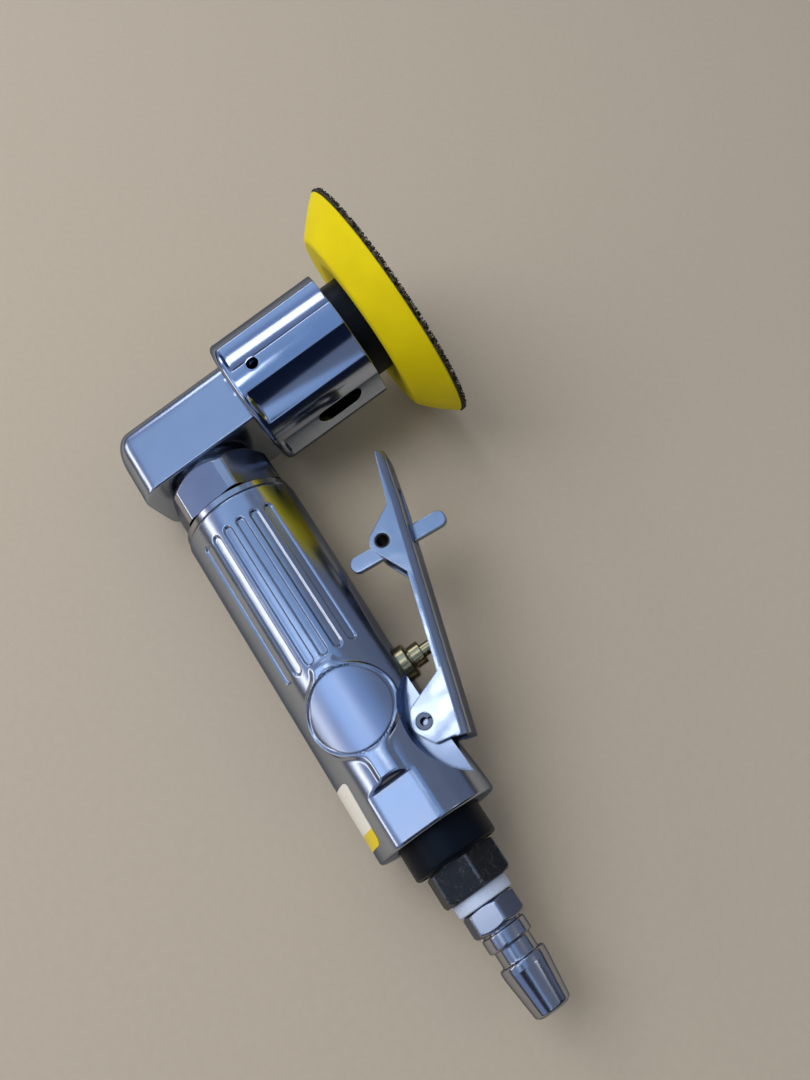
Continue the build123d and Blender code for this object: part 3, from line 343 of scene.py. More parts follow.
def cut_prism(piece: Object, rows: Sequence[np.ndarray], sharp: float = 40.0) -> None:
    """Cuts a prism out of a piece and shades the result.

    Args:
        piece: The piece to cut.
        rows: The prism's two outlines, in tool millimetres.
        sharp: Angle in degrees above which an edge stays crisp.
    """
    cutter = make_piece("cutter", close_ends(np.array(rows)))
    change = piece.modifiers.new("cut", "BOOLEAN")
    change.operation, change.solver, change.object = "DIFFERENCE", "EXACT", cutter
    plain_mesh(piece)
    bpy.data.objects.remove(cutter)
    shade(piece, sharp)


# Finishes


def linear(code: str) -> tuple[float, float, float, float]:
    """An sRGB hex colour in linear light.

    Args:
        code: The colour as # and six digits.

    Returns:
        Linear red, green, blue and alpha.
    """
    parts = [int(code[at : at + 2], 16) / 255 for at in (1, 3, 5)]
    red, green, blue = (p / 12.92 if p <= 0.04045 else ((p + 0.055) / 1.055) ** 2.4 for p in parts)
    return red, green, blue, 1.0


def per_mm(size: float) -> float:
    """Texture scale that gives features of a size in millimetres."""
    return 1 / (size * MM)


def add_node(tree: Tree, kind: str, inputs: dict[Any, Any] | None = None, **settings: Any) -> Node:
    """Adds a node with its settings, values and links.

    Args:
        tree: The node tree.
        kind: The node's type name.
        inputs: Socket name or number to a value, to the output that feeds it, or to a node whose
            first output feeds it.
        settings: The node's own options.

    Returns:
        The node.
    """
    node = tree.nodes.new(kind)
    for key, value in settings.items():
        setattr(node, key, value)
    for key, value in (inputs or {}).items():
        source = value.outputs[0] if isinstance(value, Node) else value
        if isinstance(source, Socket):
            tree.links.new(source, node.inputs[key])
        else:
            node.inputs[key].default_value = source
    return node


@dataclass(frozen=True)
class Finish:
    """What every finish has: a name, two close tones and a range of roughness."""

    name: str
    light: str
    dark: str
    smooth: float
    rough: float

    def material(self) -> bpy.types.Material:
        """Makes the finish's material, once.

        Returns:
            The material.
        """
        known = bpy.data.materials.get(self.name)
        if known:
            return known
        made = bpy.data.materials.new(self.name)
        made.use_nodes = True
        tree = made.node_tree
        tree.nodes.clear()
        place = add_node(tree, "ShaderNodeTexCoord").outputs["Object"]
        surface = add_node(tree, "ShaderNodeBsdfPrincipled", self.surface(tree, place))
        add_node(tree, "ShaderNodeOutputMaterial", {"Surface": surface})
        return made

    def surface(self, tree: Tree, place: Socket) -> dict[str, Any]:
        """Makes the finish's patterns and says what the surface shader gets from them.

        Args:
            tree: The material's node tree.
            place: Object coordinates.

        Returns:
            The shader's inputs: values, or the nodes and outputs that feed them.
        """
        raise NotImplementedError

    def tones(self, tree: Tree, cloud: Node) -> dict[str, Any]:
        """Makes the two tones and the range of roughness follow one pattern.

        Args:
            tree: The material's node tree.
            cloud: The pattern, from 0 to 1.

        Returns:
            The shader's inputs for colour and roughness.
        """
        mix = {0: cloud, 6: linear(self.dark), 7: linear(self.light)}
        span = {"Value": cloud, "To Min": self.smooth, "To Max": self.rough}
        return {
            "Base Color": add_node(tree, "ShaderNodeMix", mix, data_type="RGBA").outputs[2],
            "Roughness": add_node(tree, "ShaderNodeMapRange", span),
        }


@dataclass(frozen=True)
class MetalFinish(Finish):
    """Bare or plated metal: clouds of tone, fine working marks and edges that catch the light."""

    cloud_mm: float = 9.0
    # Marks of the wheel are about 0.02 mm wide; they are drawn coarser so that they show
    mark_mm: float = 0.35
    mark_stretch: Triple = (0.06, 1.0, 1.0)
    mark_height_mm: float = 0.0012
    wave_mm: float = 7.0
    wave_height_mm: float = 0.004
    edge_mm: float = 0.0
    # Painted shade: how far the ambient occlusion looks for closed-in hollows, and the near black
    # mixed into them
    painted_shade_mm: float = 0.0
    painted_shade: str = "#15161A"
    rim_tint: str = "#8F98AA"

    def surface(self, tree: Tree, place: Socket) -> dict[str, Any]:
        """Links clouds, waves and marks to the metal, and painted shade to its hollows.

        Args:
            tree: The material's node tree.
            place: Object coordinates.

        Returns:
            The shader's inputs.
        """
        pattern = {"Vector": place, "Scale": per_mm(self.cloud_mm), "Detail": 3.0}
        made = self.tones(tree, add_node(tree, "ShaderNodeTexNoise", pattern))
        # Painted shade: grooves, gaps and bores that the ambient occlusion finds closed in are
        # mixed towards a near black
        if self.painted_shade_mm:
            hollow = {"Distance": self.painted_shade_mm * MM}
            sky = add_node(tree, "ShaderNodeAmbientOcclusion", hollow, samples=6).outputs["AO"]
            span = {"Value": sky, "From Min": 0.25, "From Max": 0.7}
            unshaded = add_node(tree, "ShaderNodeMapRange", span)
            mix = {0: unshaded, 6: linear(self.painted_shade), 7: made["Base Color"]}
            made["Base Color"] = add_node(tree, "ShaderNodeMix", mix, data_type="RGBA").outputs[2]
        drawn = add_node(tree, "ShaderNodeMapping", {"Vector": place, "Scale": self.mark_stretch})
        pattern = {"Vector": drawn, "Scale": per_mm(self.mark_mm), "Detail": 2.0}
        marks = add_node(tree, "ShaderNodeTexNoise", pattern)
        pattern = {"Vector": place, "Scale": per_mm(self.wave_mm), "Detail": 1.0}
        waves = add_node(tree, "ShaderNodeTexNoise", pattern)
        height = {"Height": waves, "Distance": self.wave_height_mm * MM}
        if self.edge_mm:
            bevel = {"Radius": self.edge_mm * MM}
            height["Normal"] = add_node(tree, "ShaderNodeBevel", bevel, samples=6)
        broad = add_node(tree, "ShaderNodeBump", height)
        height = {"Height": marks, "Distance": self.mark_height_mm * MM, "Normal": broad}
        made["Normal"] = add_node(tree, "ShaderNodeBump", height)
        return made | {"Metallic": 1.0, "Specular Tint": linear(self.rim_tint)}


@dataclass(frozen=True)
class WornOxideFinish(Finish):
    """Blackened or washed plate, rubbed to bare metal along the edges that a spanner meets."""

    bare: str = "#6E7178"
    spot_mm: float = 0.9
    spot_height_mm: float = 0.02
    scuff_mm: float = 2.4
    scuff: float = 0.5
    gloss: float = 0.35
    plate_metal: float = 0.12

    def surface(self, tree: Tree, place: Socket) -> dict[str, Any]:
        """Links worn edges, read from the piece's own edge attribute, and scuffs on the flats.

        Args:
            tree: The material's node tree.
            place: Object coordinates.

        Returns:
            The shader's inputs.
        """
        pattern = {"Vector": place, "Scale": per_mm(self.spot_mm), "Detail": 5.0}
        spots = add_node(tree, "ShaderNodeTexNoise", pattern)
        made = self.tones(tree, spots)
        edge = add_node(tree, "ShaderNodeAttribute", attribute_name="edge").outputs["Fac"]
        broken = add_node(tree, "ShaderNodeMath", {0: edge, 1: spots}, operation="MULTIPLY")
        span = {"Value": broken, "From Min": 0.28, "From Max": 0.5}
        worn = add_node(tree, "ShaderNodeMapRange", span)
        pattern = {"Vector": place, "Scale": per_mm(self.scuff_mm), "Detail": 6.0}
        pattern |= {"Roughness": 0.75, "Distortion": 1.6}
        scuffs = add_node(tree, "ShaderNodeTexNoise", pattern)
        span = {"Value": scuffs, "From Min": 0.54, "From Max": 0.72, "To Max": self.scuff}
        rubbed = add_node(tree, "ShaderNodeMapRange", span)
        bared = add_node(tree, "ShaderNodeMath", {0: worn, 1: rubbed}, operation="MAXIMUM")
        mix = {0: bared, 6: made["Base Color"], 7: linear(self.bare)}
        span = {"Value": bared, "To Min": self.plate_metal, "To Max": 1.0}
        height = {"Height": spots, "Distance": self.spot_height_mm * MM, "Strength": 0.6}
        return made | {
            "Base Color": add_node(tree, "ShaderNodeMix", mix, data_type="RGBA").outputs[2],
            "Metallic": add_node(tree, "ShaderNodeMapRange", span),
            "Specular IOR Level": self.gloss,
            "Normal": add_node(tree, "ShaderNodeBump", height),
        }


@dataclass(frozen=True)
class MouldedFinish(Finish):
    """Moulded plastic, resin or rubber with the fine texture of its mould."""

    cloud_mm: float = 5.0
    # The mould's texture is about 0.1 mm; it is drawn coarser so that it shows
    grain_mm: float = 0.5
    grain_height_mm: float = 0.01
    index: float = 1.53
    gloss: float = 0.5
    edge_mm: float = 0.0

    def surface(self, tree: Tree, place: Socket) -> dict[str, Any]:
        """Links the mould's texture.

        Args:
            tree: The material's node tree.
            place: Object coordinates.

        Returns:
            The shader's inputs.
        """
        pattern = {"Vector": place, "Scale": per_mm(self.cloud_mm), "Detail": 4.0}
        made = self.tones(tree, add_node(tree, "ShaderNodeTexNoise", pattern))
        pattern = {"Vector": place, "Scale": per_mm(self.grain_mm), "Detail": 2.0}
        grain = add_node(tree, "ShaderNodeTexNoise", pattern)
        height = {"Height": grain, "Distance": self.grain_height_mm * MM}
        if self.edge_mm:
            bevel = {"Radius": self.edge_mm * MM}
            height["Normal"] = add_node(tree, "ShaderNodeBevel", bevel, samples=6)
        made["Normal"] = add_node(tree, "ShaderNodeBump", height)
        return made | {"IOR": self.index, "Specular IOR Level": self.gloss}


@dataclass(frozen=True)
class FoamFinish(Finish):
    """Moulded polyurethane foam: a soft closed skin, fine pores and a little light inside it."""

    cloud_mm: float = 11.0
    # Skin pores are about 0.1 mm; they are drawn coarser so that they show
    pore_mm: float = 0.45
    pore_height_mm: float = 0.04
    speck: str = "#6E6410"
    speck_gap_mm: float = 13.0
    index: float = 1.45
    gloss: float = 0.25
    light_inside: float = 0.12
    light_reach: Triple = (1.0, 0.75, 0.1)
    light_reach_mm: float = 1.2

    def surface(self, tree: Tree, place: Socket) -> dict[str, Any]:
        """Links pores, clouds of tone and a few specks of dirt.

        Args:
            tree: The material's node tree.
            place: Object coordinates.

        Returns:
            The shader's inputs.
        """
        pattern = {"Vector": place, "Scale": per_mm(self.cloud_mm), "Detail": 4.0}
        made = self.tones(tree, add_node(tree, "ShaderNodeTexNoise", pattern))
        pattern = {"Vector": place, "Scale": per_mm(self.speck_gap_mm)}
        away = add_node(tree, "ShaderNodeTexVoronoi", pattern).outputs["Distance"]
        span = {"Value": away, "From Min": 0.03, "From Max": 0.05, "To Min": 0.8, "To Max": 0.0}
        mark = add_node(tree, "ShaderNodeMapRange", span)
        mix = {0: mark, 6: made["Base Color"], 7: linear(self.speck)}
        pattern = {"Vector": place, "Scale": per_mm(self.pore_mm)}
        pores = add_node(tree, "ShaderNodeTexVoronoi", pattern).outputs["Distance"]
        height = {"Height": pores, "Distance": self.pore_height_mm * MM, "Strength": 0.5}
        return made | {
            "Base Color": add_node(tree, "ShaderNodeMix", mix, data_type="RGBA").outputs[2],
            "IOR": self.index,
            "Specular IOR Level": self.gloss,
            "Subsurface Weight": self.light_inside,
            "Subsurface Radius": self.light_reach,
            "Subsurface Scale": self.light_reach_mm * MM,
            "Normal": add_node(tree, "ShaderNodeBump", height),
        }


@dataclass(frozen=True)
class FibreFinish(Finish):
    """Felt, paper, cloth or hook tape: matt fibres with light and dark ones mixed."""

    # Fibres are 0.02 to 0.1 mm thick; they are drawn as coarser tufts so that they show
    fibre_mm: float = 0.4
    nap_height_mm: float = 0.06
    sheen: float = 0.3
    gloss: float = 0.15

    def surface(self, tree: Tree, place: Socket) -> dict[str, Any]:
        """Links the fibre pattern.

        Args:
            tree: The material's node tree.
            place: Object coordinates.

        Returns:
            The shader's inputs.
        """
        pattern = {"Vector": place, "Scale": per_mm(self.fibre_mm), "Detail": 3.0}
        fibre = add_node(tree, "ShaderNodeTexNoise", pattern)
        span = {"Value": fibre, "From Min": 0.4, "From Max": 0.62}
        made = self.tones(tree, add_node(tree, "ShaderNodeMapRange", span))
        height = {"Height": fibre, "Distance": self.nap_height_mm * MM}
        made["Normal"] = add_node(tree, "ShaderNodeBump", height)
        return made | {"Sheen Weight": self.sheen, "Specular IOR Level": self.gloss}


# Aluminium casting, ground and buffed by hand: soft reflections that waver, painted shade in the
# hollows, and a faint blue in its tones that is a painted reflection of the sky
BUFFED = MetalFinish(
    "buffed_aluminium_casting", "#BDC4D0", "#AEB6C4", 0.17, 0.26, wave_height_mm=0.06, painted_shade_mm=1.3
)
# Aluminium bar, fluted and polished on the wheel: clear bands of light and dark, painted shade in
# the hollows, and a faint blue in its tones that is a painted reflection of the sky
FLUTED = MetalFinish("polished_fluted_aluminium", "#B9C2D2", "#A9B3C6", 0.09, 0.15, painted_shade_mm=1.0)
# The same alloy with a fine satin face: an even pale sheen, tinted blue as a painted reflection of
# the sky
SATIN = MetalFinish(
    "satin_aluminium_disc", "#B9C3D6", "#AEB9CE", 0.3, 0.36, mark_mm=0.25, wave_height_mm=0.001
)
# Bright nickel on turned steel: clear reflections in a neutral grey, with painted shade in the
# hollows
NICKEL = MetalFinish(
    "bright_nickel_plate", "#C4C5CB", "#B1B3BB", 0.15, 0.24, wave_height_mm=0.006, painted_shade_mm=0.9
)
# Zinc plate under a pale passivating wash: chalky, with hardly any shine; its pale blue is partly
# the wash's own colour and partly a painted reflection of the bright sky
ZINC = WornOxideFinish("passivated_zinc_plate", "#CBDDFB", "#BACDF2", 0.5, 0.6, scuff=0.0)
# Pressed and plated sheet steel: bright with rolled waves and burnished edges, painted shade in its
# hollows and bores, and a faint blue in its tones that is a painted reflection of the sky
PRESSED = MetalFinish(
    "plated_pressed_steel", "#C6CCD6", "#B3BAC6", 0.13, 0.22, mark_height_mm=0.002, wave_mm=8.0,
    wave_height_mm=0.25, edge_mm=0.5, painted_shade_mm=2.0,
)
# Steel, turned and ground: a grey sheen that blurs what it reflects
GROUND = MetalFinish("ground_steel", "#A9ABAF", "#929499", 0.24, 0.34, edge_mm=0.2)
# Hardened bearing steel, lapped: almost a mirror
LAPPED = MetalFinish("lapped_bearing_steel", "#B9BABD", "#A7A9AD", 0.1, 0.16, edge_mm=0.2)
# Drawn spring wire, left as drawn: dull and dark
SPRING = MetalFinish("drawn_spring_steel", "#8C8D90", "#77787C", 0.3, 0.4, edge_mm=0.15)
# Turned brass dulled by handling: pale and warm, with soft highlights on its shoulders
BRASS = MetalFinish(
    "aged_turned_brass", "#DECDA0", "#B5A06A", 0.2, 0.32, cloud_mm=3.0, edge_mm=0.35
)
# Steel blackened in a hot bath, rubbed grey at its corners: dark, with thin bright lines
BLACKENED = WornOxideFinish("black_oxide_steel", "#20242B", "#121519", 0.4, 0.52)
# Black nylon from a plain mould: black with small soft highlights; the blue in its black is a
# painted reflection of the sky
NYLON = MouldedFinish(
    "black_moulded_nylon", "#08111F", "#040A14", 0.34, 0.44, edge_mm=0.3, gloss=0.14
)
# Phenolic cloth laminate, machined: brown and half matt
RESIN = MouldedFinish("phenolic_resin", "#6B4326", "#57351E", 0.42, 0.55)
# Moulded nitrile rubber: black and matt
RUBBER = MouldedFinish("nitrile_rubber", "#1A1A1B", "#111112", 0.5, 0.62)
# Oiled gasket paper: mottled brown without shine
PAPER = FibreFinish("gasket_paper", "#8E7A58", "#6F5E42", 0.75, 0.9)
# Pressed grey felt: light and dark fibres, no shine
FELT = FibreFinish("pressed_felt", "#8B8984", "#5E5C58", 0.85, 0.95, fibre_mm=0.5)
# Hook tape, woven and cut: black nylon hooks with a little grey dust among them
HOOKS = FibreFinish("hook_tape_nylon", "#4C4A42", "#070707", 0.7, 0.85, fibre_mm=0.9, sheen=0.0)
# Yellow polyurethane foam with a moulded skin: strong, even colour with soft shading
FOAM = FoamFinish("yellow_moulded_foam", "#EADC04", "#D8C600", 0.55, 0.66)
# Printed paper under a clear film: a flat strip with a weak gloss, left blank
LABEL = MouldedFinish("white_label_film", "#EDEDE9", "#E2E2DE", 0.25, 0.35, grain_height_mm=0.002)
LABEL_END = MouldedFinish(
    "yellow_label_film", "#EBD21C", "#E0C614", 0.25, 0.35, grain_height_mm=0.002
)
# Matt painted board: pale warm grey, almost even
BOARD = FibreFinish("matt_painted_board", "#B9B3A9", "#B7B1A7", 0.8, 0.85, fibre_mm=2.0, sheen=0.0)

SLOT_FINISH: dict[str, Finish] = {
    "polished_aluminium": BUFFED,
    "nickel_plate": NICKEL,
    "sheet_steel": PRESSED,
    "machined_steel": GROUND,
    "bearing_steel": LAPPED,
    "spring_steel": SPRING,
    "black_oxide": BLACKENED,
    "black_plastic": NYLON,
    "vane_resin": RESIN,
    "brass": BRASS,
    "seal_rubber": RUBBER,
    "gasket_paper": PAPER,
    "yellow_foam": FOAM,
    "hook_fabric": HOOKS,
    "muffler_felt": FELT,
}


def place_piece(piece: Object, finish: Finish, body: Body, slot: str, *stands_for: str) -> None:
    """Gives a piece its finish and body, and hides the CAD nodes that it stands for.

    Args:
        piece: The finished mesh object.
        finish: Its finish.
        body: The body it rides on.
        slot: The record's material slot; not used.
        stands_for: CAD nodes that it replaces.
    """
    piece.data.materials.clear()
    piece.data.materials.append(finish.material())
    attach(piece, body.value)
    if stands_for:
        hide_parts(*stands_for)
    LOG.info("%s rides on %s, finish %s", piece.name, body.value, finish.name)


# Sub-assemblies


@dataclass
class HandleCasting:
    """The handle: grooved grip, badge boss and spine, lever recess, tail flats, soft edges."""

    start: float = 29.1
    end: float = 126.4
    radius: float = 16.4
    front_round: float = 0.7
    tail_round: float = 0.8
    # Stepped bore from the tail to the front, each ring as (station, radius)
    bore: tuple[Pair, ...] = (
        (126.4, 11.7), (116.0, 11.7), (116.0, 6.7), (103.0, 6.7), (103.0, 6.0),
        (76.0, 6.0), (76.0, 13.92), (35.6, 13.92), (35.6, 14.35), (29.1, 14.35),
    )
    # The grip and the flats are alike on the upper and the lower side
    sides: Pair = (90.0, 270.0)
    groove_angles: tuple[float, ...] = (-36.25, -21.75, -7.25, 7.25, 21.75, 36.25)
    groove_run: Pair = (35.4, 79.2)
    groove_width: float = 2.7
    groove_depth: float = 0.6
    groove_flank: Pair = (0.08, -0.42)
    badge_x: float = 93.6
    badge_radius: float = 10.3
    badge_bend: float = 22.0
    badge_top: float = 16.75
    badge_edge: float = 0.3
    badge_thick: float = 0.46
    badge_gap: float = 0.04
    badge_sink: float = 0.42
    badge_flank: Pair = (0.5, 0.1)
    boss_radius: float = 11.05
    boss_flank: Pair = (0.6, -0.2)
    boss_blend: float = 3.4
    spine_run: Pair = (80.5, 116.0)
    spine_width: float = 5.6
    spine_height: float = 0.45
    spine_flank: Pair = (1.0, -0.7)
    relief_start: float = 34.0
    relief_low: float = 14.6
    relief_low_run: Pair = (80.0, 96.0)
    relief_end: float = 120.0
    relief_blend: float = 0.9
    flat_start: float = 113.0
    flat_height: float = 15.183
    flat_turn: float = 5.0
    flat_ramp: float = 1.15
    flat_bend: float = 0.25
    flat_blend: float = 0.5
    recess_x: float = 106.5
    recess_radius: float = 18.0
    recess_low: float = 8.0
    recess_floor: float = 5.9
    valve_x: float = 88.7
    valve_seat: float = 14.4
    spot_radius: float = 5.6
    label_run: Pair = (106.4, 122.8)
    label_split: float = 118.7
    label_turn: float = 131.6
    label_sweep: float = 50.0
    label_lean: float = 2.6
    label_corner: float = 1.4
    label_faces: Pair = (0.1, -0.05)
    # Least cosines of what counts as the lever's side and as a flat's side
    lever_side: float = 0.3
    flat_side: float = 0.5
    grid_step: float = 0.34
    grip_step: float = 1.6
    grip_margin: float = 3.2
    around: int = 420
    # How much closer the points lie on the grooved sides, and where that fades, in degrees
    crowding: float = 2.4
    crowded: Pair = (56.0, 46.0)

    def angles(self) -> np.ndarray:
        """Spaces the angles round the handle, closer together where there are details.

        Returns:
            The angles.
        """
        fine = np.linspace(0, TURN, 1441)
        from_top = np.abs(fine % math.pi - QUARTER)
        weight = 1 + self.crowding * ease(np.degrees(from_top), *self.crowded)
        run = np.concatenate(([0.0], np.cumsum((weight[1:] + weight[:-1]) / 2)))
        return np.interp(np.arange(self.around) / self.around * run[-1], run, fine)

    def stations(self) -> np.ndarray:
        """Spaces the stations along the handle: close at the ends, wide along the grooves.

        Returns:
            The stations.
        """
        quarter = quarter_steps(6)
        head = self.start + self.front_round * quarter
        tail = self.end - self.tail_round * quarter[::-1]
        first, last = self.groove_run
        marks = (head[-1], first + self.grip_margin, last - self.grip_margin, tail[0])
        runs = [head[:-1]]
        steps = (self.grid_step, self.grip_step, self.grid_step)
        for start, end, step in zip(marks, marks[1:], steps):
            runs.append(np.linspace(start, end, math.ceil((end - start) / step) + 1)[:-1])
        return np.concatenate((*runs, tail))

    def relief(self, x: np.ndarray) -> np.ndarray:
        """Height of the lever side's relief along the handle.

        Args:
            x: Stations along the handle.

        Returns:
            The heights.
        """
        low_start, low_end = self.relief_low_run
        rise = self.radius - self.relief_low
        slope = rise / (low_start - self.relief_start)
        bend = ((self.relief_end - low_end) ** 2 + rise**2) / (2 * rise)
        ahead = self.relief_low + np.maximum(0, low_start - x) * slope
        return ahead + bend - np.sqrt(bend**2 - np.clip(x - low_end, 0, bend * 0.5) ** 2)

    def raised(self, x: np.ndarray, phi: np.ndarray) -> np.ndarray:
        """Radius of the plain casting with its spine, its badge boss and the badge's seat.

        Args:
            x: Stations along the handle.
            phi: Angles round it.

        Returns:
            The radii.
        """
        across, up = np.cos(phi), np.sin(phi)
        width = self.radius * across
        along = np.maximum(self.spine_run[0] - x, x - self.spine_run[1])
        beside = np.abs(width) - self.spine_width / 2
        spine = np.hypot(np.maximum(along, 0), np.maximum(beside, 0))
        spine += np.minimum(np.maximum(along, beside), 0)
        from_badge = np.hypot(x - self.badge_x, width)
        island = soft_min(spine, from_badge - self.boss_radius, self.boss_blend)
        radius = self.radius + self.spine_height * ease(island, *self.spine_flank)
        low = self.badge_top - self.badge_bend
        boss = low * up + np.sqrt(self.badge_bend**2 - (low * across) ** 2)
        radius += ease(from_badge - self.boss_radius, *self.boss_flank) * (boss - radius)
        radius -= self.badge_sink * ease(from_badge - self.badge_radius, *self.badge_flank)
        return np.where(up > 0, radius, self.radius)

    def outside(self, x: np.ndarray, phi: np.ndarray) -> np.ndarray:
        """Radius of the casting's outer surface.

        Args:
            x: Stations along the handle.
            phi: Angles round it, from the lever side towards the top.

        Returns:
            The radii.
        """
        lever_side = np.cos(phi) > self.lever_side
        across = np.where(lever_side, np.cos(phi), 1)
        relieved = np.where(lever_side, self.relief(x) / across, FAR)
        radius = soft_min(self.raised(x, phi), relieved, self.relief_blend)
        first, last = self.groove_run
        half_run, half_width = (last - first - self.groove_width) / 2, self.groove_width / 2
        beyond = np.maximum(0, np.abs(x - (first + last) / 2) - half_run)
        for side in self.sides:
            for angle in self.groove_angles:
                off = (phi - math.radians(side + angle) + math.pi) % TURN - math.pi
                away = np.hypot(beyond, self.radius * off) - half_width
                radius -= self.groove_depth * ease(away, *self.groove_flank)
        ahead = self.flat_start - x
        ramp = 0.5 * (ahead + np.sqrt(ahead**2 + self.flat_bend**2)) * self.flat_ramp
        for side in self.sides:
            facing = np.cos(phi - math.radians(side + self.flat_turn))
            on_flat = facing > self.flat_side
            height = (self.flat_height + ramp) / np.where(on_flat, facing, 1)
            radius = soft_min(radius, np.where(on_flat, height, FAR), self.flat_blend)
        on_spot = np.hypot(x - self.valve_x, radius * np.sin(phi)) < self.spot_radius
        seat = np.minimum(radius, self.valve_seat / across)
        radius = np.where(lever_side & on_spot, seat, radius)
        radius -= edge_drop(x - self.start, self.front_round)
        return radius - edge_drop(self.end - x, self.tail_round)

    def ear_pockets(self, casting: Object) -> None:
        """Cuts the two pockets that the lever's hinge ears stand in.

        Args:
            casting: The casting.
        """
        turn = full_turn(160)
        along = self.recess_x + self.recess_radius * np.cos(turn)
        rise = self.recess_low + self.recess_radius + self.recess_radius * np.sin(turn)
        for side in (1, -1):
            depths = (side * self.recess_floor, side * 2 * self.radius)
            cut_prism(casting, [np.column_stack((along, rise, 0 * turn + z)) for z in depths])

    def build(self) -> None:
        """Builds the casting, the badge disc and the blank label."""
        x, phi = self.stations(), self.angles()
        outer = self.outside(*np.meshgrid(x, phi, indexing="ij"))
        casting = shell("handle_casting", x, outer, phi, LongAxis.HANDLE, self.bore)
        self.ear_pockets(casting)
        place_piece(casting, BUFFED, Body.CASING, "polished_aluminium", "handle")
        self.badge()
        self.label()

    def badge(self) -> None:
        """Builds the plain satin disc that lies in the boss."""
        bend = np.linspace(0, QUARTER, 6)[1:]
        inner = self.badge_radius - self.badge_edge
        flat = np.linspace(0, inner, 30)
        spread = np.concatenate(
            (flat, inner + self.badge_edge * np.sin(bend), (self.badge_radius, 0.0))
        )
        drop = np.concatenate(
            (0 * flat, self.badge_edge * (1 - np.cos(bend)), (self.badge_thick, self.badge_thick))
        )
        out, around = np.meshgrid(spread, full_turn(160), indexing="ij")
        width = out * np.sin(around)
        top = self.badge_top - self.badge_bend - self.badge_gap
        height = top + np.sqrt(self.badge_bend**2 - width**2) - drop[:, None]
        grid = np.stack((self.badge_x + out * np.cos(around), width, height), -1)
        disc = make_piece("badge_disc", grid)
        place_piece(disc, SATIN, Body.CASING, "polished_aluminium")

    def label(self) -> None:
        """Builds the blank label near the tail: a white film with a yellow end."""
        first, last = self.label_run
        for name, run, finish in (
            ("blank_label", (first, self.label_split), LABEL),
            ("blank_label_end", (self.label_split, last), LABEL_END),
        ):
            along = np.linspace(*run, 48)
            from_end = np.minimum(along - first, last - along)
            inset = np.degrees(edge_drop(from_end, self.label_corner) / self.radius)
            begin = self.label_turn + (along - first) / (last - first) * self.label_lean + inset
            sweep = np.linspace(0, 1, 40) * (self.label_sweep - 2 * inset[:, None])
            angle = np.radians(begin[:, None] + sweep)
            upper, lower = (
                ring_points(along[:, None], np.array(self.radius + lift), angle, LongAxis.HANDLE)
                for lift in self.label_faces
            )
            # A ring folded flat at each end closes the film
            film = np.concatenate((upper, lower[:, ::-1]), axis=1)
            fold = np.concatenate((upper, upper[:, ::-1]), axis=1)
            piece = make_piece(name, np.concatenate((fold[:1], film, fold[-1:])))
            place_piece(piece, finish, Body.CASING, "polished_aluminium")


